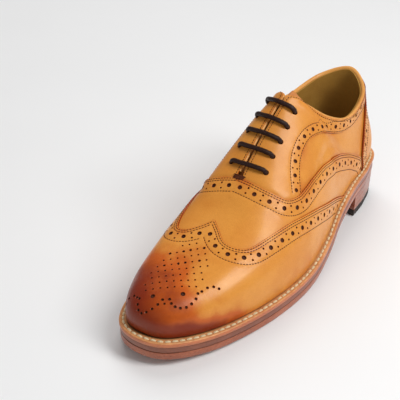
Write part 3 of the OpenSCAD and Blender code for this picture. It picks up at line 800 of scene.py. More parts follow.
def leather_material(name, light, middle, dark, gloss=0.38, coat=0.25, grain=0.35, mottle=0.5):
    """Polished calf leather with a fine grain, hand-burnished darker parts and painted shade where
    the points carry it.
    """
    m = Nodes(name, gloss, Coat_Weight=coat, Coat_Roughness=0.22, Specular_IOR_Level=0.38,
              Specular_Tint=(1.0, 0.86, 0.66, 1.0))
    cloud = m.map(m.noise(38, 4, 0.55), 0.32, 0.68)
    fine = m.map(m.noise(420, 3, 0.6), 0.3, 0.7)
    dye_and_shade = m.dye_and_shade()
    base = m.mix(m.math("MULTIPLY", cloud, mottle), light, middle)
    base = m.mix(m.math("MULTIPLY", fine, 0.16), base, middle)
    uneven = m.math("MULTIPLY", m.math("SUBTRACT", cloud, 0.5), 0.22)
    shade = m.map(m.math("ADD", dye_and_shade, uneven), 0.05, 1.0)
    ember = (0.2 * dark[0] + 0.8 * middle[0], 0.55 * dark[1] + 0.45 * middle[1],
             0.7 * dark[2] + 0.3 * middle[2], 1)
    color = m.mix(m.map(shade, 0.0, 0.5), base, ember)
    color = m.mix(m.map(shade, 0.45, 1.0), color, dark)
    pores = m.cells(1500)
    folds = m.cells(950, "DISTANCE_TO_EDGE")
    skin_map = m.math("ADD", m.math("MULTIPLY", pores, 0.45),
                      m.map(folds, 0.0, 0.22, 0.0, 0.7))
    color = m.mix(m.map(folds, 0.0, 0.12, 0.12, 0.0), color, dark)
    normal = m.height(m.noise(160, 2, 0.5), 0.10, 0.0005)
    normal = m.height(skin_map, grain, 0.00012, normal)
    rough = m.map(m.math("ADD", m.math("MULTIPLY", cloud, 0.5), m.math("MULTIPLY", pores, 0.5)),
                  0.2, 0.8, gloss - 0.07, gloss + 0.10)
    return m.done(color, rough, normal)


def fibre_material(name, light, dark, scale=700, gloss=0.6, coat=0.0, strength=0.5,
                   stretch=(1, 1, 1)):
    """Layered, pressed or woven matter: streaks, flecks and a fibrous relief, darker where the
    points carry dye or painted shade.
    """
    m = Nodes(name, gloss, Coat_Weight=coat, Coat_Roughness=0.2)
    grain = m.noise(scale, 5, 0.65, m.stretched(*stretch))
    patch = m.noise(45, 3, 0.5)
    dye_and_shade = m.dye_and_shade()
    mixed = m.math("ADD", m.math("MULTIPLY", grain, 0.65), m.math("MULTIPLY", patch, 0.45))
    color = m.mix(m.map(mixed, 0.35, 0.72), dark, light)
    color = m.mix(m.map(dye_and_shade, 0.0, 1.0, 0.0, 0.85), color, tuple(0.28 * c for c in dark[:3]) + (1,))
    normal = m.height(grain, strength, 0.00015)
    rough = m.map(grain, 0.3, 0.7, gloss - 0.08, gloss + 0.12)
    return m.done(color, rough, normal)


def thread_material(name, light, dark, gloss=0.5, twist=1400):
    """Waxed thread with a fine twist."""
    m = Nodes(name, gloss, Coat_Weight=0.05, Coat_Roughness=0.3, Specular_IOR_Level=0.2)
    ply = m.new("ShaderNodeTexWave", {"Vector": m.place, "Scale": twist, "Distortion": 2.5,
                                      "Detail": 1.0}, bands_direction="DIAGONAL").outputs["Fac"]
    dust = m.noise(300, 3, 0.6)
    color = m.mix(m.map(m.math("ADD", m.math("MULTIPLY", ply, 0.5),
                               m.math("MULTIPLY", dust, 0.5)), 0.25, 0.75), dark, light)
    normal = m.height(ply, 0.5, 0.0001)
    return m.done(color, m.map(dust, 0.3, 0.7, gloss - 0.08, gloss + 0.1), normal)


def metal_material(name, color, dark, gloss=0.3, metal=1.0):
    """Metal or enamel with a faint rub."""
    m = Nodes(name, gloss, Metallic=metal)
    rub = m.noise(900, 3, 0.6, m.stretched(1, 6, 1))
    tint = m.mix(m.map(rub, 0.35, 0.7), dark, color)
    return m.done(tint, m.map(rub, 0.3, 0.7, gloss - 0.06, gloss + 0.12),
                  m.height(rub, 0.12, 0.00005))


TAN = leather_material("tan_calf", rgb(230, 154, 64), rgb(212, 128, 40), rgb(130, 36, 2))
TONGUE_TAN = leather_material("tongue_calf", rgb(214, 142, 80), rgb(196, 118, 54),
                              rgb(112, 44, 18), gloss=0.42, coat=0.2)
LINING = leather_material("lining_calf", rgb(176, 132, 60), rgb(150, 106, 42), rgb(70, 42, 14),
                          gloss=0.58, coat=0.0, grain=0.25)
SOCK = leather_material("sock_calf", rgb(168, 132, 74), rgb(146, 108, 56), rgb(80, 52, 24),
                        gloss=0.6, coat=0.0, grain=0.25)
# Dark brown underlay in the holes, darkened further as painted shade.
HOLE_UNDERLAY_AND_SHADE = fibre_material("punched_hole_underlay_and_shade", rgb(112, 56, 24), rgb(64, 28, 12), gloss=0.85)
RIM = leather_material("folded_rim_calf", rgb(232, 166, 88), rgb(212, 140, 62),
                       rgb(120, 62, 28), gloss=0.4, coat=0.2)
WELT = fibre_material("welt_leather", rgb(224, 160, 102), rgb(188, 116, 66), 260, 0.5, 0.1,
                      0.35)
WELT_EDGE = fibre_material("dressed_welt_edge", rgb(214, 128, 78), rgb(176, 92, 54), 500, 0.38,
                           0.3, 0.3, (1, 1, 5))
SOLE = fibre_material("dressed_sole_edge", rgb(184, 102, 66), rgb(136, 68, 42), 500, 0.34, 0.4,
                      0.3, (1, 1, 5))
MIDSOLE = fibre_material("dressed_midsole_edge", rgb(150, 84, 56), rgb(108, 56, 36), 500, 0.36,
                         0.4, 0.3, (1, 1, 5))
HEEL = fibre_material("stacked_heel", rgb(180, 102, 70), rgb(126, 62, 40), 420, 0.34, 0.4, 0.3,
                      (1, 1, 7))
RUBBER = fibre_material("heel_rubber", rgb(60, 50, 44), rgb(34, 28, 26), 900, 0.7, 0.0, 0.35)
CORK = fibre_material("cork_granules", rgb(176, 128, 78), rgb(96, 58, 30), 380, 0.9, 0.0, 0.9)
INSOLE = fibre_material("insole_leather", rgb(196, 152, 100), rgb(150, 108, 66), 300, 0.75)
CANVAS = fibre_material("rib_canvas", rgb(206, 188, 148), rgb(160, 140, 104), 1200, 0.9, 0.0,
                        0.8, (1, 3, 1))
STIFF = fibre_material("stiffener_board", rgb(120, 114, 104), rgb(84, 78, 70), 800, 0.8)
TAPE = fibre_material("stay_tape", rgb(214, 208, 194), rgb(170, 162, 146), 1300, 0.9, 0.0, 0.7,
                      (3, 1, 1))
WELT_THREAD = thread_material("welt_thread", rgb(244, 228, 190), rgb(214, 190, 146), 0.6)
SEAM_THREAD = thread_material("seam_thread", rgb(112, 58, 30), rgb(62, 28, 14), 0.5)
LACE_CORD = thread_material("waxed_lace", rgb(58, 34, 28), rgb(26, 13, 10), 0.36, 1100)
AGLET = thread_material("aglet_film", rgb(52, 36, 30), rgb(30, 20, 16), 0.2, 200)
BRASS = metal_material("nail_brass", rgb(206, 164, 84), rgb(140, 100, 44))
STEEL = metal_material("shank_steel", rgb(150, 150, 152), rgb(96, 96, 100))
EYELET = metal_material("eyelet_enamel", rgb(96, 60, 40), rgb(58, 34, 22), 0.35, 0.0)

# The hidden pieces keep the shape of their CAD nodes
for node, material in {"cork_filler": CORK, "shank": STEEL, "insole_rib": CANVAS,
                       "insole": INSOLE, "sock_liner": SOCK, "heel_nails": BRASS,
                       "toe_puff": STIFF, "heel_counter": STIFF, "eyelet_stay_lateral": TAPE,
                       "eyelet_stay_medial": TAPE, "vamp_lining": LINING,
                       "aglets": AGLET}.items():
    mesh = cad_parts[node].data
    mesh.materials.clear()
    mesh.materials.append(material)
    mesh.polygons.foreach_set("use_smooth", [True] * len(mesh.polygons))
    mesh.set_sharp_from_angle(angle=math.radians(40))


# ---------------------------------------------------------------------------
# Pattern lines, as [s, t] from the ridge or the front
# ---------------------------------------------------------------------------
WING = {1: [(3.7, 1), (3.5, .92), (3.28, .82), (3.3, .7), (3.52, .585), (4.0, .515),
            (4.66, .425), (5.5, .295), (6.4, .16), (7.45, .01)],
        -1: [(3.7, 1), (3.46, .92), (3.34, .82), (3.44, .71), (3.85, .625), (4.3, .56),
             (4.9, .46), (5.6, .32), (6.4, .17), (7.45, .01)]}
SWOOP = [(4.98, 1), (4.92, .87), (4.9, .72), (5.0, .56), (5.3, .475), (5.65, .44),
         (6.0, .417), (6.5, .375), (6.8, .34), (7.0, .323), (7.25, .329), (7.5, .363),
         (7.75, .402), (8.0, .42), (8.2, .4), (8.4, .338), (8.6, .248), (8.85, .01)]
BACK_EDGE = [(10.15, .995), (10.04, .89), (9.76, .79), (9.43, .63), (9.16, .49), (8.88, .37),
             (8.68, .25), (8.63, .13), (8.66, .01)]
FACING_LOW = [(4.7, .44), (5.15, .44), (5.4, .443), (5.5, .468), (5.75, .525), (6.0, .562),
              (6.2, .575), (6.4, .577), (6.6, .566), (6.8, .54), (7.0, .508), (7.2, .51),
              (7.4, .554), (7.6, .628), (7.75, .688), (7.9, .736), (8.1, .778), (8.3, .805),
              (8.6, .834), (8.9, .85), (9.3, .87), (9.98, .885)]
FACING_TOP = [(4.7, .975), (5.12, .975), (5.4, .975), (5.8, .975), (6.2, .972), (6.6, .968),
              (6.86, .962), (7.0, .972), (7.12, .99), (7.4, .996), (8.05, .996), (8.75, .996),
              (9.3, .996), (10.1, .996)]
EYELETS = {1: np.array([(5.27, .795), (5.67, .797), (6.05, .787), (6.41, .79), (6.79, .792)]),
           -1: np.array([(5.32, .86), (5.72, .842), (6.08, .825), (6.44, .8), (6.84, .77)])}

BIG_HOLE, SMALL_HOLE = 1.6, 0.68
HOLE_PITCH = 12.0
# Radius of the large and the small holes of a narrow band, and half the gap of a pair
NARROW_BAND = (1.5, 0.62, 1.9)
# Distances of the stitched rows and the holes from an edge
SEAM = 1.15
ROW_2, HOLE_ROW, ROW_3 = 2.9, 7.0, 12.0


def along_line(a, b, n):
    """n places on the straight way from a to b."""
    f = np.linspace(0, 1, n)[:, None]
    return np.array(a, float) * (1 - f) + np.array(b, float) * f


def gimped(line, sign, pitch=2.6, deep=0.35):
    """A cut edge with fine teeth."""
    wave = sign * deep * np.abs(np.sin(math.pi * along(line) / pitch))
    return canonical(moved(line, leftward(line) * wave[:, None]))


def punch_band(piece, row, large, small, apart):
    """Large holes at every second place of a row, with pairs of small ones between them."""
    piece.punch(row[::2], large, 14)
    middle = row[1::2]
    across = leftward(row)[1::2]
    for f in (-apart, apart):
        piece.punch(moved(middle, across * f), small, 8)


def wide_band(piece, line, side, whole):
    """Two stitched rows at an edge, a band of holes and the row that closes it."""
    rows = [offset_row(line, -side * distance, whole) for distance in (SEAM, ROW_2, ROW_3)]
    for row in rows:
        piece.crease(row)
    holes = spaced(offset_row(line, -side * HOLE_ROW, whole), HOLE_PITCH / 2, 4, 4)
    if len(holes) % 2 == 0:
        holes = spaced(holes, along(holes)[-1] / len(holes))
    punch_band(piece, holes, BIG_HOLE, SMALL_HOLE, 2.2)
    return rows


def burnish(sv):
    """How dark the hand finish is at places: most at the toe, the welt and the heel."""
    sv = canonical(sv)
    p = on_last(sv)
    toe = ease((100 - np.linalg.norm(p - (-33, -153, 8), axis=1)) / 80)
    t = 1 - np.abs(sv[:, 1])
    low = ease(1 - t / 0.22) * (0.2 + 0.45 * ease((-60 - p[:, 1]) / 70))
    heel = ease((p[:, 1] - 118) / 34) * 0.25
    instep = 0.16 * ease(1 - np.abs(sv[:, 1]) / 0.3) * (sv[:, 0] < 5)
    return np.clip(0.04 + toe + low + heel + instep, 0, 0.97)


def banded(lines, width, most):
    """The hand finish, with a darker band along lines of places."""
    far = distance_to(np.vstack(lines))
    return lambda sv: np.clip(burnish(sv) + most * (1 - ease(far(sv) / width)), 0, 1)


# ---------------------------------------------------------------------------
# The upper
# ---------------------------------------------------------------------------
FOOT = 0.997
CAP_LIFT, OVER_LIFT, QUARTER_LIFT, UNDER_CAP = 0.3, 0.2, -1.0, -0.95

wing = {side: smooth_line(WING[side], side, 0.65) for side in (1, -1)}
swoop, back_edge = ({side: smooth_line(line, side, 0.65) for side in (1, -1)}
                    for line in (SWOOP, BACK_EDGE))
all_wing, all_swoop, all_back = (np.vstack([d[1], d[-1]]) for d in (wing, swoop, back_edge))
to_wing, to_swoop, to_back = (distance_to(a) for a in (all_wing, all_swoop, all_back))


def level(a, b, v):
    """Places along a level line from station a to station b."""
    return spaced(along_line((a, v), (b, v), 400), 1.0)


def joined(*parts):
    """One closed loop from lines that meet end to start."""
    return np.vstack([p[:-1] for p in parts])


# Toe cap with its wings
cap_edge = {side: gimped(wing[side], side) for side in (1, -1)}
cap = Leather(joined(cap_edge[1], level(7.45, 0, FOOT), level(0, 7.45, -FOOT),
                     cap_edge[-1][::-1]),
              toe_chart, CAP_LIFT, dye_and_shade=banded([all_wing], width=13, most=0.12))
wing_rows = sum((wide_band(cap, wing[side], side, all_wing) for side in (1, -1)), [])

# Places of the forepart, to be found by their position in plan
forepart = np.stack(np.meshgrid(np.linspace(0, 3.4, 340), np.linspace(-0.8, 0.8, 400),
                                indexing="ij"), -1).reshape(-1, 2)
in_plan = tree_of(on_last(forepart) * (1, 1, 0))

# Where the medallion sits in plan, its direction across and its direction towards the instep
MEDALLION_AT = np.array([-2.5, -127.2])
MEDALLION_ACROSS, MEDALLION_BACK = np.array([0.8, 0.6]), np.array([-0.28, 0.96])


def medallion():
    """A symmetric palmette of punched dots on the toe, laid out by formula: a staggered field of
    small dots inside an ellipse, over two scrolls that run round a large hole each."""
    dots = [(0, -7, 0.75)]
    for row in range(8):
        y = 6.3 + 5.7 * row
        reach = 20.5 * math.sqrt(1 - ((y - 20) / 27.5) ** 2)
        count = 2 * int(reach / 4.8 + 0.5 * (row % 2 == 0)) + (row % 2)
        for k in range(count):
            x = (k - (count - 1) / 2) * 4.8
            large = row in (4, 6) and round(abs(x)) in (2, 12)
            dots.append((x, y, 0.92 if large else 0.58))
    scroll = [(10.6 + 8.9 * math.cos(a), -0.5 + 9.1 * math.sin(a), 0.95)
              for a in np.radians(range(202, 371, 24))]
    scroll += [(29 + 9.2 * math.cos(a), -2.5 + 9.2 * math.sin(a), 0.9)
               for a in np.radians((145, 120, 95, 70))]
    for side in (1, -1):
        dots += [(side * x, y, r) for x, y, r in [(10, 0, 1.5)] + scroll]
    return [(*(MEDALLION_AT + x * MEDALLION_ACROSS + y * MEDALLION_BACK), r)
            for x, y, r in dots]


for x, y, r in medallion():
    cap.punch(forepart[in_plan.find((x, y, 0))[1]], r, 10 if r < 1 else 12)
cap.make("toe_cap")


# Vamp, from under the cap to the swoop over the quarters
def edge_station(line, sv):
    """The station of an edge at the height of each place."""
    side = np.where(sv[:, 1] < 0, -1, 1)
    found = np.empty(len(sv))
    for k in (1, -1):
        rows = side == k
        order = np.argsort(np.abs(line[k][:, 1]))
        found[rows] = np.interp(np.abs(sv[rows, 1]), np.abs(line[k][order, 1]),
                                line[k][order, 0])
    return found


def behind(to_line, line, sv):
    """Distance of places behind an edge; ahead of it they are negative."""
    return to_line(sv) * np.where(sv[:, 0] > edge_station(line, sv), 1, -1)


def vamp_lift(sv):
    """Lift of the vamp: under the cap in front, over the quarters behind."""
    sv = canonical(sv)
    dw, ds = to_wing(sv), to_swoop(sv)
    base = UNDER_CAP + (OVER_LIFT - UNDER_CAP) * ease((dw / (dw + ds + 1e-6) - 0.3) / 0.5)
    throat = ease((0.52 - np.abs(sv[:, 1])) / 0.12) * ease(1 - ds / 9)
    rear = -behind(to_back, back_edge, sv)
    low = sv[:, 0] > 7.8
    return base + 0.6 * throat - low * (0.65 * ease(1 - rear / 4) + 1.2 * ease(-rear / 3))


vamp_front = {}
for side in (1, -1):
    row = spaced(offset_row(wing[side], -side * 8.0, all_wing), 1.0)
    vamp_front[side] = np.vstack([[row[0, 0], 0.0], row, [row[-1, 0] + 0.3, side * FOOT]])
vamp_edge = {side: gimped(swoop[side], side) for side in (1, -1)}
vamp = Leather(joined(vamp_front[1], level(vamp_front[1][-1, 0], 8.85, FOOT),
                      vamp_edge[1][::-1], vamp_edge[-1],
                      level(8.85, vamp_front[-1][-1, 0], -FOOT), vamp_front[-1][::-1]),
               side_chart, vamp_lift, dye_and_shade=banded([all_swoop], width=14, most=0.14))
vamp_rows = sum((wide_band(vamp, swoop[side], side, all_swoop) for side in (1, -1)), [])
vamp.make("vamp")


# Quarters
def quarter_lift(sv):
    """Lift of a quarter: it dives a little more under the vamp."""
    sv = canonical(sv)
    under = -behind(to_swoop, swoop, sv)
    return QUARTER_LIFT - 0.9 * ease(under / 3) * (np.abs(sv[:, 1]) < 0.99)


QUARTER_LOW = [(4.5, .52), (4.9, .44), (5.5, .37), (6.2, .32), (6.9, .26), (7.5, .24),
               (8.1, .14), (8.4, .01)]
QUARTER_TOP = [(4.6, .965), (5.05, .965), (5.6, .965), (6.3, .96), (6.9, .95), (7.15, .97),
               (7.4, .985), (8.1, .985), (8.8, .985), (9.5, .985), (10.3, .985), (10.97, .985)]
for side, word in ((1, "lateral"), (-1, "medial")):
    low = smooth_line(QUARTER_LOW, side, 1.2)
    top = smooth_line(QUARTER_TOP, side, 1.2)
    loop = joined(low[::-1], spaced(along_line(low[0], top[0], 50), 1.2), top,
                  spaced(along_line(top[-1], (10.97, side * FOOT), 90), 1.2),
                  level(10.97, 8.4, side * FOOT))
    dark = banded([all_swoop, all_back, smooth_line(FACING_LOW, side, 0.9)], width=7, most=0.22)
    quarter = Leather(loop, side_chart, quarter_lift, thick=1.0, gap=2.6, dye_and_shade=dark)
    quarter.make("quarter_" + word)


# Facings, with the band along the topline
def facing_lift(sv):
    """Lift of a facing: over the quarter, diving under the vamp and under the backstay."""
    sv = canonical(sv)
    front, rear = behind(to_swoop, swoop, sv), -behind(to_back, back_edge, sv)
    return (OVER_LIFT - 0.65 * ease(1 - front / 4) - 1.4 * ease(-front / 3)
            - 0.65 * ease(1 - rear / 4) - 1.2 * ease(-rear / 3))


facing_rows = []
for side, word in ((1, "lateral"), (-1, "medial")):
    low, top = smooth_line(FACING_LOW, side, 0.9), smooth_line(FACING_TOP, side, 0.9)
    loop = joined(low[::-1], spaced(along_line(low[0], top[0], 60), 1.0), top,
                  spaced(along_line(top[-1], low[-1], 60), 1.0))
    seen = low[low[:, 0] > 5.46]
    facing = Leather(loop, side_chart, facing_lift, dye_and_shade=banded([seen], width=12, most=0.12))
    rows = [offset_row(seen, side * distance, seen) for distance in (SEAM, 9.0)]
    rows = [row[row[:, 0] < 9.9] for row in rows]
    rows.append(offset_row(top[(top[:, 0] > 5.05) & (top[:, 0] < 9.95)], -side * 1.3, top))
    for row in rows:
        facing.crease(row)
    facing_rows += rows
    holes = offset_row(seen, side * 5.1, seen)
    holes = holes[(holes[:, 0] > 5.3) & (holes[:, 0] < 9.75)]
    punch_band(facing, spaced(holes, 5.8, 2, 3), *NARROW_BAND)
    facing.punch(EYELETS[side] * np.array([1, -side]) + np.array([0, side]), 2.05, 16)
    facing.make("facing_" + word)


# Backstay
def backstay_lift(sv):
    """Lift of the backstay, higher at its edge over the vamp and the facings."""
    return OVER_LIFT + 0.6 * ease(1 - to_back(canonical(sv)) / 12)


loop = joined(back_edge[1], level(8.66, 11, FOOT), level(11, 8.66, -FOOT), back_edge[-1][::-1],
              level(10.15, 11, -0.005), level(11, 10.15, 0.005))
backstay = Leather(loop, heel_chart, backstay_lift, dye_and_shade=banded([all_back], width=10, most=0.14))
backstay_rows = []
for side in (1, -1):
    rows = [offset_row(back_edge[side], side * distance, all_back) for distance in (SEAM, 9.2)]
    backstay_rows += [row[np.abs(row[:, 1]) > 0.03] for row in rows]
    holes = offset_row(back_edge[side], side * 5.2, all_back)
    punch_band(backstay, spaced(holes, 5.8, 4, 3), *NARROW_BAND)
backstay_rows.append(np.vstack([level(10.3, 11, 0.03), level(11, 10.3, -0.03)[1:]]))
for row in backstay_rows:
    backstay.crease(row)
backstay.make("backstay")

# Seam threads
stitches("wing_seams", wing_rows, cap.lift)
stitches("vamp_seams", vamp_rows, vamp_lift)
stitches("facing_seams", facing_rows, facing_lift)
stitches("backstay_seams", backstay_rows, backstay_lift)


# ---------------------------------------------------------------------------
# Linings and the folded rim of the opening
# ---------------------------------------------------------------------------
LINING_OUT, LINING_IN = -3.2, -4.3


def shell(name, node, s, v):
    """Lining over a grid of places, as a closed shell."""
    b = Build()
    rows = [skin(line_s, line_v, np.zeros(len(line_s))) for line_s, line_v in zip(s, v)]
    b.sheet([b.add(p + LINING_IN * n, 0.1) for p, n in rows],
            [b.add(p + LINING_OUT * n, 0.1) for p, n in rows])
    b.piece(name, [LINING], slot="lining_leather", stands_for=[node])


def top_of_lining(s):
    """How high the quarter linings reach at each station."""
    return np.interp(s, [5.0, 6.6, 6.95, 7.3, 8], [0.968, 0.962, 0.97, 0.985, 0.988])


LINING_FOOT = 0.03
up_lining = np.linspace(0, 1, 40)
for side, word in ((1, "lateral"), (-1, "medial")):
    s, f = np.meshgrid(np.linspace(5.1, 9.06, 70), up_lining, indexing="ij")
    t = LINING_FOOT + (top_of_lining(s) - LINING_FOOT) * f
    shell("quarter_lining_%s_leather" % word, "quarter_lining_" + word, s, side * (1 - t))
s, f = np.meshgrid(np.linspace(9.02, 12.98, 74), up_lining, indexing="ij")
shell("heel_lining_leather", "heel_lining", s, 1 - LINING_FOOT - (0.988 - LINING_FOOT) * f)

# Section of the rim, as (out of the last, over its top edge)
RIM_SECTION = [(-0.2, -1.3), (-0.1, 0.0), (-0.25, 0.6), (-0.6, 1.02), (-1.2, 1.2), (-1.9, 1.05),
               (-2.7, 0.62), (-3.2, -0.2), (-3.4, -1.3), (-3.4, -2.4), (-2.6, -2.2), (-1.2, -1.8)]


def rim_path():
    """Line of places round the opening, from one front corner to the other."""
    one = {}
    for side in (1, -1):
        line = smooth_line([q for q in FACING_TOP[1:] if q[0] < 9.5]
                           + [(9.8, .996), (10.4, .996), (11, .996)], side, 0.9)
        one[side] = line[line[:, 0] > 4.95]
    return np.vstack([one[1], one[-1][::-1][1:]])


b = Build()
line = rim_path()
p, n = lifted(line, np.zeros(len(line)))
p = (p[:-2] + 2 * p[1:-1] + p[2:]) / 4
n = unit(n[:-2] + n[1:-1] + n[2:])
up = np.cross(n, unit(np.gradient(p, axis=0)))
rings = [b.add(p[k] + np.array([a * n[k] + c * up[k] for a, c in RIM_SECTION]), 0.12)
         for k in range(len(p))]
b.grid(rings, closed=True)
b.face(*rings[0][::-1])
b.face(*rings[-1])
b.piece("folded_rim", [RIM], slot="binding_leather", stands_for=["topline_binding"])


# ---------------------------------------------------------------------------
# Tongue
# ---------------------------------------------------------------------------
TONGUE_EDGE = [(4.85, .66), (5.5, .64), (6.15, .6), (6.75, .56)]
TONGUE_TOP, TONGUE_THICK, TONGUE_LINING = -8.0, 1.2, 0.9
FREE_LENGTH = 20.5


def tongue_rows(depth, shrink=0.0):
    """Rows of points of a tongue layer, from its root to its rounded free end."""
    across = np.linspace(-1, 1, 45)
    rows = []
    for s, t in curve(TONGUE_EDGE, np.linspace(0, len(TONGUE_EDGE) - 1, 46)):
        v = across * (1 - t) * (1 - shrink)
        p, n = skin(np.full(len(v), s), v, np.zeros(len(v)))
        rise = 3.0 * (1 - ease(np.abs(v) / 0.2))
        rows.append(p + (depth + rise)[:, None] * n)
    way = unit(rows[-1] - rows[-8])
    way = unit(0.75 * way + 0.25 * way[len(way) // 2])
    reach = FREE_LENGTH * (1 - shrink) * (1 - 0.3 * np.abs(across) ** 4)
    end = rows[-1]
    for f in np.linspace(0, 1, 18)[1:]:
        rows.append(end + way * (reach * f)[:, None] + np.array([0, 0.8, -1.6]) * f ** 2)
    return np.array(rows)


def tongue_layer(name, node, material, slot, top, thick, shrink=0.0):
    """One layer of the tongue: a soft closed sheet with a rounded edge."""
    upper, lower = tongue_rows(top, shrink), tongue_rows(top - thick, shrink)
    n, m = upper.shape[:2]
    along_it, across_it = (np.minimum(np.arange(k), k - 1 - np.arange(k)) for k in (n, m))
    fill = np.clip(0.45 + 0.4 * np.minimum.outer(along_it, across_it), 0, 1)[..., None]
    centre, half = (upper + lower) / 2, (upper - lower) / 2 * fill
    b = Build()
    b.sheet([b.add(row, 0.15) for row in centre + half],
            [b.add(row, 0.15) for row in centre - half])
    b.piece(name, [material], body="tongue", slot=slot, stands_for=[node])


tongue_layer("tongue_leather", "tongue", TONGUE_TAN, "tongue_leather", TONGUE_TOP, TONGUE_THICK)
tongue_layer("tongue_lining_leather", "tongue_lining", LINING, "lining_leather",
             TONGUE_TOP - TONGUE_THICK - 0.05, TONGUE_LINING, shrink=0.015)


# ---------------------------------------------------------------------------
# Lace
# ---------------------------------------------------------------------------
LACE_D = 3.6
BAR_LIFT, HIDDEN_LACE = OVER_LIFT + 0.25 + LACE_D / 2, -6.6
TAILS = {-1: [(5.46, .8), (5.58, .73), (5.75, .68), (5.95, .65), (6.15, .63), (6.35, .61),
              (6.55, .59), (6.72, .57), (6.86, .55)],
         1: [(6.68, .7), (6.52, .645), (6.3, .61), (6.08, .59), (5.86, .58), (5.64, .575),
             (5.42, .57), (5.2, .57), (5.0, .57)]}


def one_skin(side, s, t, lift=0.0):
    """The point and the normal at one place."""
    p, n = skin([s], [side * (1 - t)], [lift])
    return p[0], n[0]


def through(side, place, along_way):
    """Way of the lace from the bar on top, through an eyelet, to the run below."""
    s, t = place
    o, n = one_skin(side, s, t)
    up = unit(one_skin(side, s, t + 0.02)[0] - o)
    w = along_way * unit(one_skin(side, s + 0.02, t)[0] - o)
    a, top, low = LACE_D / 2.7, BAR_LIFT, HIDDEN_LACE
    return [o + 3.4 * up + (top + 0.1) * n, o + 1.7 * up + (top - 0.35) * n,
            o + 0.5 * up + (top - 1.6) * n, o - 0.6 * n, o - 2.0 * n, o - 3.4 * n,
            o + 0.2 * w + (low + 1.5) * n, o + 1.2 * a * w + (low + 0.4) * n,
            o + 2.6 * a * w + low * n]


def bar(k):
    """Way of the lace over the facings between the two eyelets of row k."""
    a, c = EYELETS[-1][k], EYELETS[1][k]
    ends = [one_skin(side, *place)[0] for side, place in ((-1, a), (1, c))]
    ways, across = np.meshgrid(np.linspace(min(a[0], c[0]) - 0.3, max(a[0], c[0]) + 0.3, 90),
                               np.linspace(a[1] - 1, 1 - c[1], 90))
    near, normal = skin(ways.ravel(), across.ravel(), np.zeros(ways.size))
    made = []
    for f in (0.3, 0.5, 0.7):
        chord = ends[0] + (ends[1] - ends[0]) * f
        k = np.argmin(np.linalg.norm(near - chord, axis=1))
        made.append(near[k] + (BAR_LIFT + 0.3) * normal[k])
    return made


def lace_row(k):
    """The whole way of row k; the rows run from one side and the other in turn."""
    even = k % 2 == 0
    med = through(-1, EYELETS[-1][k], (1 if k == 0 else -1) if even else 1)
    lat = through(1, EYELETS[1][k], (-1 if k == 4 else 1) if even else -1)
    return med[::-1] + bar(k) + lat if even else lat[::-1] + bar(k)[::-1] + med


def tail(side):
    """Hidden end of the lace on one side."""
    return [one_skin(side, s, t, HIDDEN_LACE)[0] for s, t in TAILS[side]]


route = tail(-1)[::-1]
for k in range(5):
    route += lace_row(k)
route = np.array(route + tail(1))
path = curve(route, np.linspace(0, len(route) - 1, 5 * len(route)))
b = Build()
run = lengths(path)
tube(b, path, LACE_D / 2, 20, lambda k, w: 1 + 0.035 * np.cos(4 * w + run[k] * 1.9)
     + 0.02 * np.cos(5 * w - run[k] * 2.6))
b.piece("lace_cord", [LACE_CORD], slot="lace_cord", stands_for=["lace"])

# Blind eyelets under the facings
b = Build()
EYELET_SECTION = [(2.05, -1.3), (2.15, -1.25), (3.0, -1.3), (3.05, -1.45), (2.35, -1.5),
                  (2.3, -4.4), (3.1, -4.5), (3.1, -4.62), (2.05, -4.65)]
for side in (1, -1):
    for s, t in EYELETS[side]:
        o, n = one_skin(side, s, t)
        x = unit(np.cross(n, (0.2, 1, 0.1)))
        y = np.cross(n, x)
        rings = [b.add([o + r * (math.cos(w) * x + math.sin(w) * y) + h * n
                        for r, h in EYELET_SECTION]) for w in turns(24)]
        b.grid(rings + rings[:1], closed=True)
b.piece("blind_eyelets", [EYELET], slot="eyelet_metal", stands_for=["eyelets"])

# Bar tack at the throat: threads laid over each other
b = Build()
THROAT = 4.98
for k in range(26):
    f, g = k * 0.618 % 1, k * 0.414 % 1
    s = THROAT + 0.1 * (f - 0.5)
    o, n = one_skin(1, s, 1)
    lift = vamp_lift(np.array([[s, 0.0]]))[0] + 0.15 + 0.3 * (k % 3) / 2
    crosswise = k % 9 == 4
    turn = math.radians(14 * (g - 0.5) + (70 if crosswise else 0))
    way = np.array([math.cos(turn), math.sin(turn), 0])
    way = unit(way - n * np.dot(way, n))
    shift = np.array([2.2 * (g - 0.5), 0, 0])
    add_stitch(b, o + shift + lift * n, way, n, 3.0 if crosswise else 6.5 + 2.5 * f, 0.62, 0.6)
b.piece("throat_tack", [SEAM_THREAD], slot="tack_thread", stands_for=["throat_bar_tack"])


# ---------------------------------------------------------------------------
# Sole and heel
# ---------------------------------------------------------------------------
HEEL_LENGTH, BREAST_R = 64.0, 130.0
LOOP_COUNT = 420


def sole_places(margin, count=LOOP_COUNT):
    """Outline of the sole in plan, drawn in by a margin, one side after the other."""
    s = np.linspace(0, 2 * HEEL_BACK, count * 4, endpoint=False)
    side = np.where(s <= HEEL_BACK, 1, -1)
    s = np.where(s <= HEEL_BACK, s, 2 * HEEL_BACK - s)
    p = np.where((side > 0)[:, None], edge(1, s) - edge_out(1, s) * margin,
                 edge(-1, s) - edge_out(-1, s) * margin)
    p = np.vstack([p, p[:1]])
    d = lengths(p)
    return sampled(p, d, np.linspace(0, d[-1], count, endpoint=False))


def sole_ring(margin, height, count=LOOP_COUNT):
    """Ring round the sole, drawn in by a margin, at a height over its underside."""
    q = sole_places(margin, count)
    return in_frame(np.column_stack([q, sole_rise(q[:, 1]) + height]))


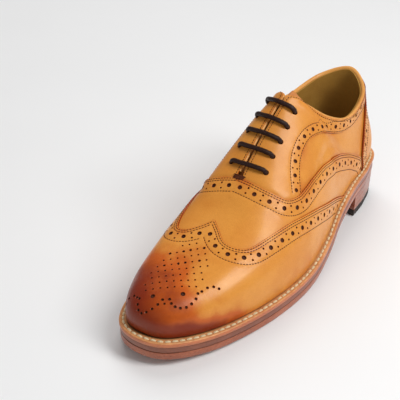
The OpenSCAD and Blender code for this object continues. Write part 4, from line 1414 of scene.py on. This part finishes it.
def cap_faces(b, ring, loop, z_of, gap, up, holes=()):
    """Fills a ring of points with a flat or gently curved face, round any holes."""
    n = len(loop)
    edges = [(i, (i + 1) % n) for i in range(n)]
    fixed = [loop[:, :2]]
    numbers = [ring]
    start = n
    hole_of = np.full(n, -1)
    for k, hole in enumerate(holes):
        ring_2d = circle(*hole)
        fixed.append(ring_2d)
        numbers.append(b.add(np.column_stack([ring_2d, z_of(ring_2d)])))
        edges += [(start + i, start + (i + 1) % 16) for i in range(16)]
        hole_of = np.concatenate([hole_of, np.full(16, k)])
        start += 16
    low, high = loop[:, :2].min(0), loop[:, :2].max(0)
    g = np.stack(np.meshgrid(np.arange(low[0], high[0], gap), np.arange(low[1], high[1], gap),
                             indexing="ij"), -1).reshape(-1, 2)
    g = g[inside(loop[:, :2], g)]
    near = tree_of([(x, y, 0) for x, y in np.vstack(fixed)])
    g = np.array([p for p in g if near.find((p[0], p[1], 0))[2] > gap * 0.5
                  and all((p[0] - x) ** 2 + (p[1] - y) ** 2 > r * r for x, y, r in holes)])
    more = b.add(np.column_stack([g, z_of(g)]))
    flat = np.vstack(fixed + [g])
    index = np.concatenate(numbers + [more])
    hole_of = np.concatenate([hole_of, np.full(len(g), -1)])
    _, _, tris, back, _, _ = delaunay_2d_cdt([Vector(p) for p in flat.tolist()], edges, [], 1,
                                             1e-5)
    for t in tris:
        k = [back[i][0] for i in t]
        h = hole_of[k]
        if h[0] >= 0 and (h == h[0]).all():
            continue
        a, c, d = flat[k[0]], flat[k[1]], flat[k[2]]
        turn = (c[0] - a[0]) * (d[1] - a[1]) - (c[1] - a[1]) * (d[0] - a[0])
        if abs(turn) < 1e-6:
            continue
        if (turn > 0) != up:
            k = k[::-1]
        b.face(*index[k])
    return numbers[1:]


def sole_sweep(b, section):
    """Rings round the sole for a section of (margin, height, darkness from dye and painted shade).
    """
    return [b.add(sole_ring(m, h), dye_and_shade) for m, h, dye_and_shade in section]


def under_sole(q):
    """Height of the underside of the sole at points of the frame."""
    return sole_rise(MIDDLE[1] - np.asarray(q)[:, 1] / SCALE) * SCALE


# Outsole: dressed edge, and a stitch channel round its tread
b = Build()
rings = sole_sweep(b, [(14, 0.0, 0), (7.6, 0.0, 0), (7.0, 0.3, .55), (6.4, 0.0, 0), (2.4, 0.0, 0),
                       (1.3, 0.2, 0), (0.75, 0.8, 0), (0.6, 2.0, 0), (0.55, 3.8, 0),
                       (0.65, 5.3, 0), (0.9, 5.85, .55), (14, OUTSOLE_TOP, 0)])
b.grid(rings, closed=True)
cap_faces(b, rings[0], sole_ring(14, 0), under_sole, 6, up=False)
cap_faces(b, rings[-1], sole_ring(14, OUTSOLE_TOP), lambda q: under_sole(q) + OUTSOLE_TOP, 9,
          up=True)
b.piece("outsole_leather", [SOLE], slot="sole_leather", stands_for=["outsole"])

# Midsole
b = Build()
rings = sole_sweep(b, [(24, 6.0, 0), (1.3, 6.0, .5), (0.95, 6.2, .2), (0.85, 7.0, 0),
                       (0.85, 9.6, 0), (1.0, 10.4, .2), (1.4, MIDSOLE_TOP, .5),
                       (24, MIDSOLE_TOP, 0)])
b.grid(rings + rings[:1], closed=True)
b.piece("midsole_leather", [MIDSOLE], slot="midsole_leather", stands_for=["midsole"])

# Welt: a dressed edge, then the top with the groove for its stitches. The groove is darkened as
# painted shade, and the top darkens towards the upper as a painted shadow of the upper.
b = Build()
rings = sole_sweep(b, [(13, 10.75, 0), (0.9, 10.75, .5), (0.35, 11.0, .2), (0.05, 11.9, 0),
                       (0.0, 13.2, 0), (0.2, 14.05, 0), (0.7, 14.45, 0), (1.4, 14.55, 0),
                       (2.1, 14.35, .1), (3.0, 14.0, .5), (3.9, 14.35, .15), (4.6, 14.5, .2),
                       (5.6, 14.4, .6), (7.0, 14.2, 1), (13, 14.1, 1)])
b.grid(rings[:6], closed=True, slot=1)
b.grid(rings[5:] + rings[:1], closed=True)
b.piece("welt_strip", [WELT, WELT_EDGE], slot="welt_leather", stands_for=["welt"])

# Welt stitches
WELT_PITCH, WELT_INSET, WELT_STITCH = 5.0, 3.0, (4.3, 1.8, 1.3, 10)
b = Build()
ring = sole_ring(WELT_INSET, WELT_TOP, 2400)
ring = np.vstack([ring, ring[:1]])
d = lengths(ring)
count = int(round(d[-1] / WELT_PITCH))
for k in range(count):
    mid = (k + 0.5) / count * d[-1]
    ends = sampled(ring, d, [mid - 1.5, mid + 1.5])
    way = unit(ends[1] - ends[0])
    level_way = np.array([way[1], -way[0], 0])
    up = np.cross(level_way, way)
    up *= np.sign(up[2])
    wobble = 0.1 * math.sin(2.4 * k)
    add_stitch(b, ends.mean(0) - 0.02 * up + level_way * wobble, way, up, *WELT_STITCH)
b.piece("welt_lockstitch", [WELT_THREAD], slot="welt_thread", stands_for=["welt_stitching"],
        sharp=80)


def heel_ring(margin, height, follow=None):
    """Outline of the heel block, closed across its breast."""
    p = sole_ring(margin, 0, 1600)[:, :2]
    centre = MIDDLE[1] - HEEL_LENGTH - BREAST_R + 4
    far = np.hypot(p[:, 0], p[:, 1] - centre) - BREAST_R - margin
    keep = (far > 0) & (p[:, 1] > 0)
    first = np.argmax(keep & ~np.roll(keep, 1))
    part = np.roll(p, -first, axis=0)[:keep.sum()]
    d = lengths(part)
    around = sampled(part, d, np.linspace(0, d[-1], 150))
    a = np.arctan2(around[-1, 1] - centre, around[-1, 0])
    c = np.arctan2(around[0, 1] - centre, around[0, 0])
    w = np.linspace(a, c, 42)[1:-1]
    breast = np.column_stack([(BREAST_R + margin) * np.cos(w),
                              centre + (BREAST_R + margin) * np.sin(w)])
    loop = np.vstack([around, breast])
    z = np.full(len(loop), float(height)) if follow is None else under_sole(loop) + height
    return np.column_stack([loop, z])


def heel_layer(name, material, slot, node, low, high, margin, nails=()):
    """One layer of the heel block. The one without a height reaches up to the sole."""
    b = Build()
    steps = [(0.55, low, None, .8), (0.12, low + 0.22, None, .3), (0.0, low + 0.9, None, 0)]
    if high is None:
        steps += [(0.0, -2.0, 1, 0), (0.12, -0.22, 1, .3), (0.55, -0.05, 1, .8)]
    else:
        steps += [(0.0, high - 0.9, None, 0), (0.12, high - 0.22, None, .3),
                  (0.55, high - 0.03, None, .8)]
    loops = [heel_ring(margin + m, h, follow) for m, h, follow, _ in steps]
    rings = [b.add(loop, step[3]) for loop, step in zip(loops, steps)]
    b.grid(rings[::-1], closed=True)
    found = cap_faces(b, rings[0], loops[0], lambda q: np.full(len(q), float(low)), 7, up=False,
                      holes=nails)
    for ring, (x, y, r) in zip(found, nails):
        deep = b.add(np.column_stack([circle(x, y, r), np.full(16, low + NAIL_SINK)]), 0.6)
        b.strip(deep, ring)
        b.fan(deep, b.add([(x, y, low + NAIL_SINK)], 0.6)[0], flip=True)
    cap_faces(b, rings[-1], loops[-1],
              (lambda q: under_sole(q) - 0.05) if high is None
              else (lambda q: np.full(len(q), high - 0.03)), 7, up=True)
    b.piece(name, [material], slot=slot, stands_for=[node])


# The nails stand where the frame has them
NAIL_SINK, NAIL_HOLE_R = 0.8, 1.12
groups = []
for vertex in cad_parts["heel_nails"].data.vertices:
    q = np.array(vertex.co[:2]) / MM
    for group in groups:
        if np.linalg.norm(np.mean(group, axis=0) - q) < 3:
            group.append(q)
            break
    else:
        groups.append([q])
NAILS = [(*(np.min(group, axis=0) + np.max(group, axis=0)) / 2, NAIL_HOLE_R) for group in groups]
heel_layer("heel_top_rubber", RUBBER, "heel_rubber", "heel_top_piece", 0, 6, 1.3, NAILS)
heel_layer("heel_lift_low", HEEL, "heel_leather", "heel_lift_1", 6, 11, 1.15)
heel_layer("heel_lift_mid", HEEL, "heel_leather", "heel_lift_2", 11, 16, 1.0)
heel_layer("heel_lift_high", HEEL, "heel_leather", "heel_lift_3", 16, None, 0.85)


# ---------------------------------------------------------------------------
# Floor, light and camera
# ---------------------------------------------------------------------------
# Name, place, aim, size and power of each lamp. Only the key light shows in the polish
LIGHTS = [("key", (0.75, 0.1, 0.95), (0, -0.03, 0.05), (0.4, 0.8), 10),
          ("back", (-0.8, 0.9, 1.5), (0, 0, 0.05), (1.3, 1.3), 15),
          ("fill", (0.1, -1.3, 0.8), (0, 0, 0.05), (0.8, 0.8), 1.8)]
WORLD_STRENGTH, FLOOR_HALF = 0.25, 6.0
VIEW_TARGET = Vector((-0.0786, 0.0241, 0.0115))
VIEW_AZIMUTH, VIEW_HEIGHT, VIEW_DISTANCE = math.radians(33.9), math.radians(32.06), 0.7197
VIEW_LENS = 76.3


def placed(name, data, spot, way_back):
    """A new lamp or camera at a spot, looking away from a direction."""
    obj = bpy.data.objects.new(name, data)
    obj.location = spot
    obj.rotation_euler = way_back.to_track_quat("Z", "Y").to_euler()
    bpy.context.scene.collection.objects.link(obj)
    return obj


mesh = bpy.data.meshes.new("floor")
h = FLOOR_HALF
mesh.from_pydata([(-h, -h, 0), (h, -h, 0), (h, h, 0), (-h, h, 0)], [], [(0, 1, 2, 3)])
floor = bpy.data.objects.new("floor", mesh)
bpy.context.scene.collection.objects.link(floor)
floor.location.z = -0.0002
paper = Nodes("studio_paper", 0.9, Specular_IOR_Level=0.1)
mesh.materials.append(paper.done(paper.mix(paper.noise(8), rgb(243, 243, 243),
                                           rgb(240, 240, 240))))

world = bpy.data.worlds.new("studio")
bpy.context.scene.world = world
world.use_nodes = True
back = world.node_tree.nodes["Background"]
back.inputs["Color"].default_value = (1, 1, 1, 1)
back.inputs["Strength"].default_value = WORLD_STRENGTH
for name, spot, aim, size, power in LIGHTS:
    light = bpy.data.lights.new(name, "AREA")
    light.shape, light.size, light.size_y = "RECTANGLE", size[0], size[1]
    light.energy = power
    lamp = placed(name, light, spot, Vector(spot) - Vector(aim))
    lamp.visible_glossy = name == "key"

camera = bpy.data.cameras.new("photo_view")
camera.lens, camera.sensor_width = VIEW_LENS, 36
camera.clip_start, camera.clip_end = 0.01, 50
back = Vector((math.sin(VIEW_AZIMUTH) * math.cos(VIEW_HEIGHT),
               -math.cos(VIEW_AZIMUTH) * math.cos(VIEW_HEIGHT), math.sin(VIEW_HEIGHT)))
bpy.context.scene.camera = placed("photo_view", camera, VIEW_TARGET + back * VIEW_DISTANCE, back)
bpy.context.scene.view_settings.view_transform = "Standard"
